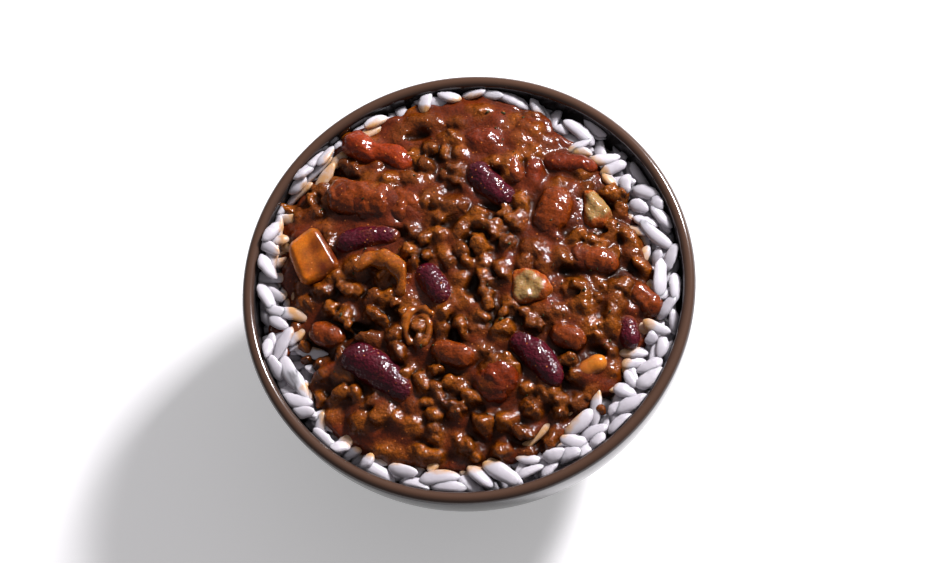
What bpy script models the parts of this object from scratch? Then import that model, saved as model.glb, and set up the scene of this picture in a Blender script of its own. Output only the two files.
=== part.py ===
"""Chili con carne on a bed of rice, heaped in a small dark bowl.

The bowl is a turned vessel that stands on a foot ring. The rice fills it to just under the rim. The chili is
one thick mound of sauce and mince on the rice, cut round every bean and piece of vegetable that stands in it.
The origin is at the centre of the foot ring on the table, +Z is up, and the front of the dish is at -Y.
Sizes are named in millimetres and multiplied by MM, because the scene is in metres.
"""

import math
import random

import bmesh
import bpy
from mathutils import Euler, Vector
from mathutils.geometry import delaunay_2d_cdt

MM = 0.001
GAP = 0.3 * MM  # clearance between pieces that touch

# Bowl
RIM_INNER_R = 46.9 * MM
LIP_THICK = 2.8 * MM
BOWL_H = 45.5 * MM
LIP_Z = BOWL_H - 0.5 * LIP_THICK  # where the wall ends and the round of the lip begins
FLOOR_Z = 6.0 * MM  # the bowl's inside floor on its axis
FLOOR_THICK = 4.0 * MM
FOOT_R = 23.8 * MM
FOOT_THICK = 3.0 * MM
BOWL_STEPS = 44
INSIDE_POINTS = 7
OUTSIDE_POINTS = 5
LIP_POINTS = 4

# Rice
RICE_Z = 40.4 * MM  # top of the rice under the chili
RICE_RISE = 0.8 * MM  # how far the grains heap up in the open ring
RICE_RINGS = 4

# Chili
CHILI_EDGE_Z = 42.6 * MM
CHILI_CROWN_Z = 48.6 * MM
# Radius of the mound's edge every 10 degrees, counter-clockwise from +X, in millimetres.
CHILI_EDGE = [
    40.2, 40.1, 39.2, 39.6, 40.5, 40.1, 39.5, 43.6, 44.2, 45.0, 44.6, 44.4,
    44.2, 44.4, 44.1, 45.0, 45.2, 42.7, 42.0, 39.8, 39.2, 40.8, 43.4, 43.7,
    43.7, 43.5, 42.7, 42.4, 41.1, 41.2, 40.8, 38.4, 40.6, 39.4, 40.3, 41.6,
]
CHILI_STEPS = 60
CHILI_POINTS = 430
LUMP_COUNT = 90
LUMP_R = (3.0 * MM, 4.4 * MM)
LUMP_RISE = (1.2 * MM, 2.4 * MM)

COLOURS = {
    "bowl": (0.018, 0.017, 0.018, 0.35),
    "rice": (0.78, 0.76, 0.74, 0.5),
    "chili": (0.14, 0.035, 0.012, 0.25),
    "kidney_bean": (0.055, 0.004, 0.012, 0.25),
    "coated_bean": (0.19, 0.045, 0.012, 0.25),
    "pale_bean": (0.45, 0.16, 0.03, 0.3),
    "carrot": (0.42, 0.12, 0.015, 0.3),
    "celery": (0.34, 0.25, 0.09, 0.3),
    "tomato": (0.32, 0.035, 0.012, 0.25),
    "onion": (0.24, 0.075, 0.025, 0.3),
}


def clear_scene():
    for obj in list(bpy.data.objects):
        bpy.data.objects.remove(obj, do_unlink=True)


def material(name):
    """A Principled BSDF with the part's own colour and roughness."""
    found = bpy.data.materials.get(name)
    if found:
        return found
    red, green, blue, roughness = COLOURS[name]
    made = bpy.data.materials.new(name)
    made.use_nodes = True
    shader = made.node_tree.nodes["Principled BSDF"]
    shader.inputs["Base Color"].default_value = (red, green, blue, 1.0)
    shader.inputs["Roughness"].default_value = roughness
    return made


def new_object(name, mesh, material_name, smooth=True):
    obj = bpy.data.objects.new(name, mesh)
    bpy.context.scene.collection.objects.link(obj)
    mesh.materials.append(material(material_name))
    if smooth:
        mesh.shade_smooth()
    return obj


def mesh_from(name, bm):
    bmesh.ops.recalc_face_normals(bm, faces=bm.faces)
    if bm.calc_volume(signed=True) < 0:
        bmesh.ops.reverse_faces(bm, faces=bm.faces)
    mesh = bpy.data.meshes.new(name)
    bm.to_mesh(mesh)
    bm.free()
    return mesh


def skin_of_loops(loops, low_point, high_point):
    """A closed surface through loops of equal length, fanned to a point at each end."""
    bm = bmesh.new()
    rows = [[bm.verts.new(point) for point in loop] for loop in loops]
    for row, after in zip(rows, rows[1:]):
        for i, vert in enumerate(row):
            j = (i + 1) % len(row)
            bm.faces.new((vert, row[j], after[j], after[i]))
    for row, tip in ((rows[0], bm.verts.new(low_point)), (rows[-1], bm.verts.new(high_point))):
        for i, vert in enumerate(row):
            bm.faces.new((vert, row[(i + 1) % len(row)], tip))
    return bm


# ---------------------------------------------------------------- bowl

def round_bottom(z, low_z, rim_radius):
    """Radius at a height of a deep round bottom that runs up into a nearly upright lip."""
    share = min(1.0, max(0.0, (z - low_z) / (BOWL_H - low_z)))
    return rim_radius * math.sqrt(1.0 - (1.0 - share) ** 2.3)


def inner_radius(z):
    return round_bottom(z, FLOOR_Z, RIM_INNER_R)


def outer_radius(z):
    return round_bottom(z, FLOOR_Z - FLOOR_THICK, RIM_INNER_R + LIP_THICK)


def wall_heights(low_z, count):
    """Heights up a wall to the lip, closer together near its bottom, where it curves most."""
    return [low_z + (LIP_Z - low_z) * (i / count) ** 1.7 for i in range(count + 1)]


def lip_profile():
    """A half round over the top of the wall, from inside to outside."""
    centre_r = RIM_INNER_R + 0.5 * LIP_THICK
    points = []
    for i in range(1, LIP_POINTS + 1):
        angle = math.pi * (1.0 - i / (LIP_POINTS + 1))
        points.append((
            centre_r + 0.5 * LIP_THICK * math.cos(angle),
            LIP_Z + 0.5 * LIP_THICK * math.sin(angle),
        ))
    return points


def make_bowl():
    """A turned vessel: its profile runs up the inside, over the lip, down the outside and round the foot ring."""
    inside = [(inner_radius(z), z) for z in wall_heights(FLOOR_Z, INSIDE_POINTS)]
    outside = [(outer_radius(z), z) for z in reversed(wall_heights(7.5 * MM, OUTSIDE_POINTS))]
    under_z = FLOOR_Z - FLOOR_THICK
    foot = [
        (FOOT_R, 6.0 * MM),
        (FOOT_R, 0.4 * MM),
        (FOOT_R - 0.4 * MM, 0.0),
        (FOOT_R - FOOT_THICK + 0.4 * MM, 0.0),
        (FOOT_R - FOOT_THICK, 0.4 * MM),
        (FOOT_R - FOOT_THICK - 1.0 * MM, under_z),
        (0.0, under_z),
    ]
    profile = inside + lip_profile() + outside + foot
    mesh = bpy.data.meshes.new("bowl")
    edges = [(i, i + 1) for i in range(len(profile) - 1)]
    mesh.from_pydata([(radius, 0.0, z) for radius, z in profile], edges, [])
    bowl = new_object("bowl", mesh, "bowl", smooth=False)
    turn = bowl.modifiers.new("turn", "SCREW")
    turn.steps = BOWL_STEPS
    turn.render_steps = BOWL_STEPS
    turn.use_merge_vertices = True
    turn.merge_threshold = 0.01 * MM
    turn.use_smooth_shade = True
    return bowl


# ---------------------------------------------------------------- rice

def turn_point(radius, angle, z):
    return Vector((radius * math.cos(angle), radius * math.sin(angle), z))


def rice_top_z(angle, share):
    """Height of the open ring of rice: knobs and hollows of grains, level with RICE_Z at its inner edge."""
    knobs = math.sin(13 * angle + 9.0 * share) * math.sin(7 * angle + 4.0 * share + 1.3)
    return RICE_Z + RICE_RISE * min(1.0, 3.0 * share) * (0.35 + 0.65 * knobs)


def make_rice():
    """The bowl's filling up to the chili's underside, and the ring of heaped grains that shows round it."""
    angles = [2 * math.pi * i / BOWL_STEPS for i in range(BOWL_STEPS)]
    edge_z = RICE_Z - 0.8 * MM
    wall_r = inner_radius(edge_z) - 1.4 * GAP
    loops = []
    for z in [z for z in wall_heights(FLOOR_Z, INSIDE_POINTS) if FLOOR_Z < z < edge_z] + [edge_z]:
        loops.append([turn_point(inner_radius(z) - 1.4 * GAP, angle, z + GAP) for angle in angles])
    for ring in range(RICE_RINGS):
        share = 0.88 * (1.0 - ring / (RICE_RINGS - 1))
        loop = []
        for angle in angles:
            start_r = chili_edge(angle) + GAP
            loop.append(turn_point(start_r + share * (wall_r - start_r), angle, rice_top_z(angle, share)))
        loops.append(loop)
    bm = skin_of_loops(loops, (0, 0, FLOOR_Z + GAP), (0, 0, RICE_Z))
    return new_object("rice", mesh_from("rice", bm), "rice")


# ---------------------------------------------------------------- chili

def chili_edge(angle):
    """Radius of the chili's uneven edge, as a smooth curve through CHILI_EDGE."""
    place = (angle / (2 * math.pi)) % 1.0 * len(CHILI_EDGE)
    i = int(place)
    t = place - i
    a, b, c, d = (CHILI_EDGE[(i + k) % len(CHILI_EDGE)] for k in (-1, 0, 1, 2))
    curve = b + 0.5 * t * (c - a + t * (2 * a - 5 * b + 4 * c - d + t * (3 * (b - c) + d - a)))
    return curve * MM


def mound_z(x, y):
    """Height of the chili's smooth top, without its lumps."""
    share = min(1.0, math.hypot(x, y) / chili_edge(math.atan2(y, x)))
    return CHILI_EDGE_Z + (CHILI_CROWN_Z - CHILI_EDGE_Z) * (1.0 - share**2.4) ** 0.85


def mince_lumps():
    """(x, y, radius, rise) of the lumps of mince that show at the top, spread evenly and clear of the pieces."""
    spread = random.Random(7)
    taken = [(row[2], row[3]) for row in BEANS + CHUNKS + DICE]
    for row in DICE + STRIPS:
        taken += [(row[2] + point[0], row[3] + point[1]) for point in row[-1]]
    lumps = []
    for i in range(LUMP_COUNT):
        radius = 39.0 * MM * math.sqrt((i + 0.5) / LUMP_COUNT)
        angle = i * math.pi * (3.0 - math.sqrt(5.0)) + spread.uniform(-0.1, 0.1)
        x, y = radius * math.cos(angle), radius * math.sin(angle)
        size, rise = spread.uniform(*LUMP_R), spread.uniform(*LUMP_RISE)
        clear = min(math.hypot(x - taken_x * MM, y - taken_y * MM) for taken_x, taken_y in taken)
        if clear > 0.75 * size:
            lumps.append((x, y, min(size, clear), rise))
    return lumps


def chili_top_z(x, y, lumps):
    highest = 0.0
    for lump_x, lump_y, radius, rise in lumps:
        share = ((x - lump_x) ** 2 + (y - lump_y) ** 2) / radius**2
        if share < 1.0:
            highest = max(highest, rise * (1.0 - share))
    return mound_z(x, y) + highest


def make_chili():
    """The mound: an even net of triangles over its lumpy top, with a rounded edge and a flat underside."""
    angles = [2 * math.pi * i / CHILI_STEPS for i in range(CHILI_STEPS)]
    flat_points = [turn_point(0.985 * chili_edge(a), a, 0.0).to_2d() for a in angles]
    golden_angle = math.pi * (3.0 - math.sqrt(5.0))
    for i in range(CHILI_POINTS):
        angle = i * golden_angle
        radius = 0.96 * chili_edge(angle) * math.sqrt((i + 0.5) / CHILI_POINTS)
        flat_points.append(turn_point(radius, angle, 0.0).to_2d())
    outline = list(range(CHILI_STEPS))
    points, _, faces, _, _, _ = delaunay_2d_cdt(flat_points, [], [outline], 1, 0.001 * MM)
    lumps = mince_lumps()
    bm = bmesh.new()
    verts = [bm.verts.new((p.x, p.y, chili_top_z(p.x, p.y, lumps))) for p in points]
    for face in faces:
        bm.faces.new([verts[i] for i in face])
    for scale, z in ((1.0 / 0.985, RICE_Z + 1.3 * MM), (0.97, RICE_Z + GAP)):
        edges = [edge for edge in bm.edges if edge.is_boundary]
        made = bmesh.ops.extrude_edge_only(bm, edges=edges)["geom"]
        for vert in (v for v in made if isinstance(v, bmesh.types.BMVert)):
            vert.co = Vector((vert.co.x * scale, vert.co.y * scale, z))
    bmesh.ops.holes_fill(bm, edges=[edge for edge in bm.edges if edge.is_boundary], sides=0)
    return new_object("chili", mesh_from("chili", bm), "chili")


# ---------------------------------------------------------------- pieces in the chili

CUTTERS = bpy.data.collections.new("cutters")


def bean_shape(length, width, thick, bend=0.22, notch=0.16, grow=0.0):
    """A kidney bean that lies along X: an ellipsoid curved in plan, with a notch at the inside of its curve."""
    bm = bmesh.new()
    bmesh.ops.create_uvsphere(bm, u_segments=9, v_segments=6, radius=1.0)
    half = Vector((0.5 * length + grow, 0.5 * width + grow, 0.5 * thick + grow))
    for vert in bm.verts:
        across, up, along = vert.co
        body = (1.0 - abs(along) ** 3.0) ** 0.12
        pull = notch * math.exp(-((along / 0.35) ** 2)) * max(0.0, -across)
        vert.co = Vector((
            half.x * along,
            half.y * (across * body + pull) - bend * width * (along**2 - 0.4),
            half.z * up * body,
        ))
    return bm


def lump_shape(length, width, thick, seed=1, rough=0.1, grow=0.0):
    """A chunk with soft knobs, such as a piece of tomato under sauce."""
    bm = bmesh.new()
    bmesh.ops.create_uvsphere(bm, u_segments=10, v_segments=6, radius=1.0)
    phase = [0.7 * seed + 1.9 * k for k in range(3)]
    for vert in bm.verts:
        x, y, z = vert.co.z, vert.co.x, vert.co.y
        knob = 1.0 + rough * math.sin(3.1 * x + phase[0]) * math.cos(2.7 * y + phase[1])
        knob += 0.6 * rough * math.sin(4.3 * z + 2.2 * x + phase[2])
        vert.co = Vector((
            (0.5 * length * knob + grow) * x,
            (0.5 * width * knob + grow) * y,
            (0.5 * thick * knob + grow) * z,
        ))
    return bm


def dice_shape(outline, thick, grow=0.0):
    """A knife-cut piece: a slightly tapered prism over an outline, with its edges taken off."""
    centre = sum((Vector(p) for p in outline), Vector((0, 0))) / len(outline)
    bm = bmesh.new()
    corners = []
    for point in outline:
        away = Vector(point) - centre
        corners.append(centre + away * (1.0 + 1.4 * grow / away.length))
    low = [bm.verts.new((p.x, p.y, -0.5 * thick - grow)) for p in corners]
    face = bm.faces.new(low)
    lifted = bmesh.ops.extrude_face_region(bm, geom=[face])["geom"]
    for vert in (v for v in lifted if isinstance(v, bmesh.types.BMVert)):
        vert.co = Vector((centre.x + 0.94 * (vert.co.x - centre.x), centre.y + 0.94 * (vert.co.y - centre.y), 0.5 * thick + grow))
    bmesh.ops.bevel(
        bm, geom=bm.verts[:] + bm.edges[:], offset=0.7 * MM, segments=1, profile=0.6, affect="EDGES"
    )
    return bm


def strip_shape(points, radii, flat=1.0, closed=False, sides=8, grow=0.0):
    """A soft strip that follows a path: round sections of changing radius, flattened by flat."""
    path = [Vector(p) for p in points]
    count = len(path)
    loops = []
    for i, point in enumerate(path):
        before = path[(i - 1) % count] if closed else path[max(i - 1, 0)]
        after = path[(i + 1) % count] if closed else path[min(i + 1, count - 1)]
        along = (after - before).normalized()
        side = Vector((-along.y, along.x, 0.0)).normalized()
        radius = radii[i] + grow
        loops.append([
            point + side * radius * math.cos(2 * math.pi * k / sides)
            + Vector((0, 0, (radii[i] * flat + grow) * math.sin(2 * math.pi * k / sides)))
            for k in range(sides)
        ])
    if not closed:
        reach = 0.55
        first = path[0] + (path[0] - path[1]).normalized() * (radii[0] * reach + grow)
        last = path[-1] + (path[-1] - path[-2]).normalized() * (radii[-1] * reach + grow)
        return skin_of_loops(loops, first, last)
    bm = bmesh.new()
    rows = [[bm.verts.new(point) for point in loop] for loop in loops]
    for row, after in zip(rows, rows[1:] + rows[:1]):
        for k in range(sides):
            m = (k + 1) % sides
            bm.faces.new((row[k], row[m], after[m], after[k]))
    return bm


def place_piece(name, material_name, shape, x, y, rise, turn, tip, roll, height, **sizes):
    """One piece at (x, y), its top about `rise` above the mound, and the cutter that makes its room in the food.

    x, y, rise and height are in millimetres; turn is its heading, tip its nose-up angle, roll its lean, in degrees.
    """
    z = mound_z(x * MM, y * MM) + (rise - 0.5 * height) * MM
    turned = Euler((math.radians(roll), math.radians(-tip), math.radians(turn)))
    piece = new_object(name, mesh_from(name, shape(**sizes)), material_name)
    cutter = bpy.data.objects.new(name + "_cutter", mesh_from(name + "_cutter", shape(grow=1.1 * GAP, **sizes)))
    CUTTERS.objects.link(cutter)
    for obj in (piece, cutter):
        obj.location = (x * MM, y * MM, z)
        obj.rotation_euler = turned
    cutter.hide_render = True
    cutter.display_type = "WIRE"
    return piece


def in_metres(points):
    return [Vector(point) * MM for point in points]


def arc_path(radius_x, radius_y, start, sweep, count, drop):
    """Points on an arc of an ellipse, its ends lower than its middle by drop. Angles are in degrees."""
    points = []
    for i in range(count):
        share = i / (count - 1)
        angle = math.radians(start + sweep * share)
        points.append((radius_x * math.cos(angle), radius_y * math.sin(angle), -drop * (2 * share - 1) ** 2))
    return points


def make_beans():
    for name, kind, x, y, rise, turn, tip, roll, length, width, thick in BEANS:
        sizes = {"length": length * MM, "width": width * MM, "thick": thick * MM}
        place_piece(name, kind, bean_shape, x, y, rise, turn, tip, roll, thick, **sizes)


def make_chunks():
    for name, kind, x, y, rise, turn, length, width, thick, seed in CHUNKS:
        sizes = {"length": length * MM, "width": width * MM, "thick": thick * MM, "seed": seed}
        place_piece(name, kind, lump_shape, x, y, rise, turn, 0, 0, thick, **sizes)


def make_dice():
    for name, kind, x, y, rise, tip, roll, thick, outline in DICE:
        sizes = {"outline": in_metres(outline), "thick": thick * MM}
        place_piece(name, kind, dice_shape, x, y, rise, 0, tip, roll, thick, **sizes)


def make_strips():
    for name, kind, x, y, rise, flat, closed, sides, radii, path in STRIPS:
        sizes = {"points": in_metres(path), "radii": [r * MM for r in radii]}
        sizes.update(flat=flat, closed=closed, sides=sides)
        place_piece(name, kind, strip_shape, x, y, rise, 0, 0, 0, 2 * flat * max(radii), **sizes)


def cut_room_for_pieces(food):
    cut = food.modifiers.new("room for pieces", "BOOLEAN")
    cut.operation = "DIFFERENCE"
    cut.solver = "EXACT"
    cut.operand_type = "COLLECTION"
    cut.collection = CUTTERS


# ---------------------------------------------------------------- where the pieces lie

# name, material, x, y, rise, turn, tip, roll, length, width, thickness; millimetres and degrees
BEANS = [
    ("kidney_bean_1", "kidney_bean", -19.0, -21.3, 2.0, -36, 0, 12, 18.0, 8.8, 7.6),
    ("kidney_bean_2", "kidney_bean", -21.8, 9.6, 1.2, 9, 0, 0, 14.0, 6.2, 6.0),
    ("kidney_bean_3", "kidney_bean", 4.6, 21.6, 1.4, -44, 0, 10, 13.0, 7.0, 6.2),
    ("kidney_bean_4", "kidney_bean", -7.4, -1.6, 1.4, -56, 12, 8, 10.5, 6.6, 6.0),
    ("kidney_bean_5", "kidney_bean", 15.0, -18.3, 1.7, -48, 6, 6, 15.5, 7.4, 6.6),
    ("kidney_bean_6", "kidney_bean", 34.4, -11.4, 1.0, -75, 10, 0, 8.0, 5.2, 5.0),
    ("kidney_bean_7", "kidney_bean", -41.9, -11.6, 0.4, -76, 0, 0, 8.6, 4.6, 4.4),
    ("coated_bean_1", "coated_bean", 19.6, 15.4, 2.2, 70, 0, -8, 11.5, 8.2, 7.2),
    ("coated_bean_2", "coated_bean", -2.4, -17.8, 1.5, -18, 0, 8, 9.5, 5.8, 5.4),
    ("coated_bean_3", "coated_bean", 9.4, 26.0, 1.0, -70, 0, 0, 8.0, 5.0, 5.0),
    ("coated_bean_4", "coated_bean", 22.0, -13.9, 1.6, -22, 0, 0, 7.6, 5.4, 5.2),
    ("coated_bean_5", "coated_bean", -30.4, -12.0, 1.6, -16, 0, 0, 8.0, 5.6, 5.2),
    ("coated_bean_6", "coated_bean", 38.0, -4.4, 1.1, -38, 0, 0, 9.0, 6.2, 5.2),
    ("pale_bean", "pale_bean", 27.2, -20.0, 1.3, 28, 6, 0, 7.0, 4.4, 4.2),
]

# name, material, x, y, rise, turn, length, width, thickness, knob seed
CHUNKS = [
    ("tomato_chunk_1", "coated_bean", -20.4, 18.8, 2.4, -14, 20.0, 9.6, 8.4, 2),
    ("tomato_chunk_2", "tomato", 3.2, 33.2, 1.4, 10, 8.4, 7.0, 6.0, 5),
    ("tomato_chunk_3", "tomato", 6.9, -22.6, 2.0, 60, 10.6, 9.2, 7.4, 4),
    ("tomato_chunk_4", "tomato", 22.0, 27.6, 1.7, -10, 10.8, 5.4, 5.6, 3),
    ("tomato_chunk_5", "coated_bean", 27.4, 4.6, 1.5, -15, 10.6, 5.8, 5.6, 6),
    ("tomato_chunk_6", "tomato", 14.4, 24.6, 1.2, 82, 7.0, 4.0, 4.2, 7),
]

# name, material, x, y, rise, tip, roll, thickness, corners of its upright outline
DICE = [
    ("carrot_dice", "carrot", -33.9, 6.2, 1.9, -4, 5, 7.5, [(-5.6, 2.4), (0.0, 6.6), (5.9, -2.4), (-1.8, -6.3)]),
    (
        "celery_dice_1", "celery", 14.2, -2.2, 1.3, 3, -4, 5.0,
        [(-3.8, 3.8), (1.2, 4.0), (5.0, -0.6), (3.2, -2.6), (-3.4, -4.2)],
    ),
    (
        "celery_dice_2", "celery", 28.4, 16.4, 1.5, 0, 0, 5.0,
        [(-2.6, 5.0), (-0.6, 4.6), (3.2, -1.4), (1.0, -4.4), (-2.8, -3.4)],
    ),
]

# name, material, x, y, rise, flatness, closed, sides, radii, path
STRIPS = [
    (
        "tomato_fold", "tomato", -21.0, 32.2, 1.8, 1.0, False, 8, (2.0, 2.5, 2.6, 2.4, 2.5, 2.4, 1.8),
        [
            (-6.6, 1.6, -1.0), (-4.0, 0.2, 0.0), (-1.2, -0.9, 0.3), (1.6, -0.9, 0.2),
            (4.2, -1.6, 0.0), (6.2, -3.4, 0.0), (7.0, -6.0, -0.8),
        ],
    ),
    (
        "onion_slice", "onion", -21.2, -0.8, 1.7, 0.9, False, 6,
        (0.7, 1.1, 1.3, 1.5, 1.7, 1.7, 1.3, 0.8), arc_path(5.6, 5.4, 141, -165, 8, 0.6),
    ),
    (
        "onion_ring", "onion", -9.8, -11.2, 1.3, 1.3, True, 5,
        [1.05] * 12, arc_path(3.3, 4.5, 0, 330, 12, 0.0),
    ),
]


def main():
    clear_scene()
    bpy.context.scene.collection.children.link(CUTTERS)
    CUTTERS.hide_render = True
    make_bowl()
    rice = make_rice()
    chili = make_chili()
    make_beans()
    make_chunks()
    make_dice()
    make_strips()
    cut_room_for_pieces(rice)
    cut_room_for_pieces(chili)


main()
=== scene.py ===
"""Looks of a bowl of chili con carne on rice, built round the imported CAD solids.

Lengths are in millimetres and are multiplied by MM where they meet Blender, which works in metres.
"""

import math

import bpy
import numpy as np
import openvdb
from mathutils import Matrix, Vector


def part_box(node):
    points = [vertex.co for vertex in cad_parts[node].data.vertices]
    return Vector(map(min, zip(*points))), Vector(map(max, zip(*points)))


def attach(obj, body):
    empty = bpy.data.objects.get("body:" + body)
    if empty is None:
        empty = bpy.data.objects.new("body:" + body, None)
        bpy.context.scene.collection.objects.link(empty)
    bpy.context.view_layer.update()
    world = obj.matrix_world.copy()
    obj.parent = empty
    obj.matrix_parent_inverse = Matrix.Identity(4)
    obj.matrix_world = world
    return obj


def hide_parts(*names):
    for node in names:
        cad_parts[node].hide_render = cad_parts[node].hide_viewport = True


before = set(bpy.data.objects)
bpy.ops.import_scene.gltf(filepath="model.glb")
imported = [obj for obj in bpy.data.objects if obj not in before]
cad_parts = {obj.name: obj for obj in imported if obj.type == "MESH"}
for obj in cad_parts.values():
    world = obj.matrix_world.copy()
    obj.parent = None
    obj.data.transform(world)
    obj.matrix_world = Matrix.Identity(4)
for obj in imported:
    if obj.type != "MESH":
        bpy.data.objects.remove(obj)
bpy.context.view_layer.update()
MM = 0.001

# ------------------------------------------------------------------ bowl
# A small rice bowl thrown in dark stoneware clay and dipped in a near-black glaze, which runs thin and
# brown over the lip. The foot ring is wiped clean of glaze, so that it stands on bare clay.
BOWL_LIP = 2.8  # how thick the wall is at the lip
FLOOR_Z = 6.0  # the inside's lowest point
FLOOR_THICK = 4.0
FOOT_RADIUS = 23.8
FOOT_WIDTH = 3.0
FOOT_TOP = 6.9  # where the foot meets the round of the bowl
GLAZE_LINE = 3.2  # the foot is bare below it
ROUNDNESS = 2.3  # the power that gives the wall its curve, where 2 is a quarter of a circle
BOWL_STEPS = 160  # faces round it


def srgb(code):
    """An sRGB hex colour as linear RGBA."""
    parts = [int(code[i : i + 2], 16) / 255 for i in (1, 3, 5)]
    return [c / 12.92 if c <= 0.04045 else ((c + 0.055) / 1.055) ** 2.4 for c in parts] + [1.0]


def add(tree, kind, inputs=None, **settings):
    """One node of a kind, with its settings. An input takes a value, or a socket to link from."""
    node = tree.nodes.new("ShaderNode" + kind)
    for key, value in settings.items():
        setattr(node, key, value)
    for key, value in (inputs or {}).items():
        if isinstance(value, bpy.types.NodeSocket):
            tree.links.new(value, node.inputs[key])
        else:
            node.inputs[key].default_value = value
    return node


def new_material(name):
    made = bpy.data.materials.new(name)
    made.use_nodes = True
    made.node_tree.nodes.clear()
    return made, made.node_tree


def mesh_object(name, points, faces, material):
    """A smooth mesh that rides on the object. Points are in millimetres."""
    mesh = bpy.data.meshes.new(name)
    mesh.from_pydata((np.asarray(points) * MM).tolist(), [], faces)
    mesh.materials.append(material)
    mesh.shade_smooth()
    made = bpy.data.objects.new(name, mesh)
    bpy.context.scene.collection.objects.link(made)
    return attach(made, "root")


def turned(profile, steps):
    """(points, faces) of a profile of (radius, z), turned about the z axis, with its two ends on the axis."""
    angles = np.arange(steps) * 2 * math.pi / steps
    points, faces = [], []
    for radius, z in profile:
        points += [(radius * math.cos(a), radius * math.sin(a), z) for a in angles]
    for row in range(len(profile) - 1):
        for i in range(steps):
            j = (i + 1) % steps
            a, b, c, d = row * steps + i, row * steps + j, (row + 1) * steps + j, (row + 1) * steps + i
            faces.append((a, d, c, b))
    for row, centre_z in ((0, profile[0][1]), (len(profile) - 1, profile[-1][1])):
        points.append((0.0, 0.0, centre_z))
        for i in range(steps):
            pair = (row * steps + i, row * steps + (i + 1) % steps)
            faces.append((len(points) - 1, *(pair if row == 0 else pair[::-1])))
    return points, faces


bowl_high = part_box("bowl")[1]
rim_r = bowl_high.x / MM
rim_z = bowl_high.z / MM + 0.1
inner_r = rim_r - BOWL_LIP


def round_bottom(z, low_z, radius):
    """Radius at a height of a round-bottomed wall, which is upright where it meets the rim."""
    share = np.clip((z - low_z) / (rim_z - low_z), 0, 1)
    return radius * np.sqrt(1 - (1 - share) ** ROUNDNESS)


wall_z = rim_z - 0.5 * BOWL_LIP
heights = FLOOR_Z + (wall_z - FLOOR_Z) * np.linspace(0.06, 1, 26) ** 1.7
inside = [(round_bottom(z, FLOOR_Z, inner_r), z) for z in heights]
lip = [
    (inner_r + BOWL_LIP * (0.5 - 0.5 * math.cos(a)), wall_z + 0.5 * BOWL_LIP * math.sin(a))
    for a in np.linspace(0.15, math.pi - 0.15, 11)
]
heights = FOOT_TOP + (wall_z - FOOT_TOP) * np.linspace(0, 1, 26) ** 1.4
outside = [(round_bottom(z, FLOOR_Z - FLOOR_THICK, rim_r), z) for z in heights[::-1]]
foot = [(FOOT_RADIUS + out, z) for out, z in ((0.35, 6.1), (0, 5.4), (-0.05, 3.0), (-0.1, 0.6), (-0.6, 0.0))]
foot += [(FOOT_RADIUS - FOOT_WIDTH + out, z) for out, z in ((0.6, 0.0), (0, 0.5), (-0.9, 2.0))] + [(8.0, 2.0)]
points, faces = turned(inside + lip + outside + foot, BOWL_STEPS)

# Glazed stoneware: dark and glassy, with iron specks under the glaze, brown where it runs thin over the
# lip, and a slow swell in its surface that bends the reflections. Below the glaze line the bare clay is
# matt and grainy.
glaze, tree = new_material("stoneware_glaze")
place = add(tree, "NewGeometry").outputs["Position"]
height = add(tree, "SeparateXYZ", {"Vector": place}).outputs["Z"]
cloud = add(tree, "TexNoise", {"Vector": place, "Scale": 1 / (14 * MM), "Detail": 3.0})
specks = add(tree, "TexVoronoi", {"Vector": place, "Scale": 1 / (2.2 * MM)})
speck = add(tree, "MapRange", {"Value": specks.outputs["Distance"], "From Min": 0.10, "From Max": 0.16,
                               "To Min": 1.0, "To Max": 0.0})
body_colour = add(tree, "Mix", {"Factor": cloud.outputs["Fac"], "A": srgb("#151416"), "B": srgb("#2a2625")},
                  data_type="RGBA")
specked = add(tree, "Mix", {"Factor": speck.outputs["Result"], "A": body_colour.outputs["Result"],
                            "B": srgb("#4a3b30")}, data_type="RGBA")
thin = add(tree, "MapRange", {"Value": height, "From Min": (rim_z - 1.1) * MM, "From Max": rim_z * MM})
rim_colour = add(tree, "Mix", {"Factor": thin.outputs["Result"], "A": specked.outputs["Result"],
                               "B": srgb("#4b3427")}, data_type="RGBA")
bare = add(tree, "MapRange", {"Value": height, "From Min": (GLAZE_LINE + 0.2) * MM,
                              "From Max": (GLAZE_LINE - 0.2) * MM})
clay_colour = add(tree, "Mix", {"Factor": bare.outputs["Result"], "A": rim_colour.outputs["Result"],
                                "B": srgb("#6b5a4c")}, data_type="RGBA")
rough = add(tree, "MapRange", {"Value": bare.outputs["Result"], "To Min": 0.16, "To Max": 0.8})
grit = add(tree, "TexNoise", {"Vector": place, "Scale": 1 / (0.9 * MM), "Detail": 2.0})
relief = add(tree, "Mix", {"Factor": bare.outputs["Result"], "A": cloud.outputs["Fac"],
                           "B": grit.outputs["Fac"]}, data_type="FLOAT")
bump = add(tree, "Bump", {"Height": relief.outputs["Result"], "Strength": 0.25, "Distance": 0.5 * MM})
shader = add(tree, "BsdfPrincipled", {"Base Color": clay_colour.outputs["Result"],
                                      "Roughness": rough.outputs["Result"], "IOR": 1.5,
                                      "Normal": bump.outputs["Normal"]})
add(tree, "OutputMaterial", {"Surface": shader.outputs["BSDF"]})

bowl = mesh_object("glazed_bowl", points, faces, glaze)
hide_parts("bowl")

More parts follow.
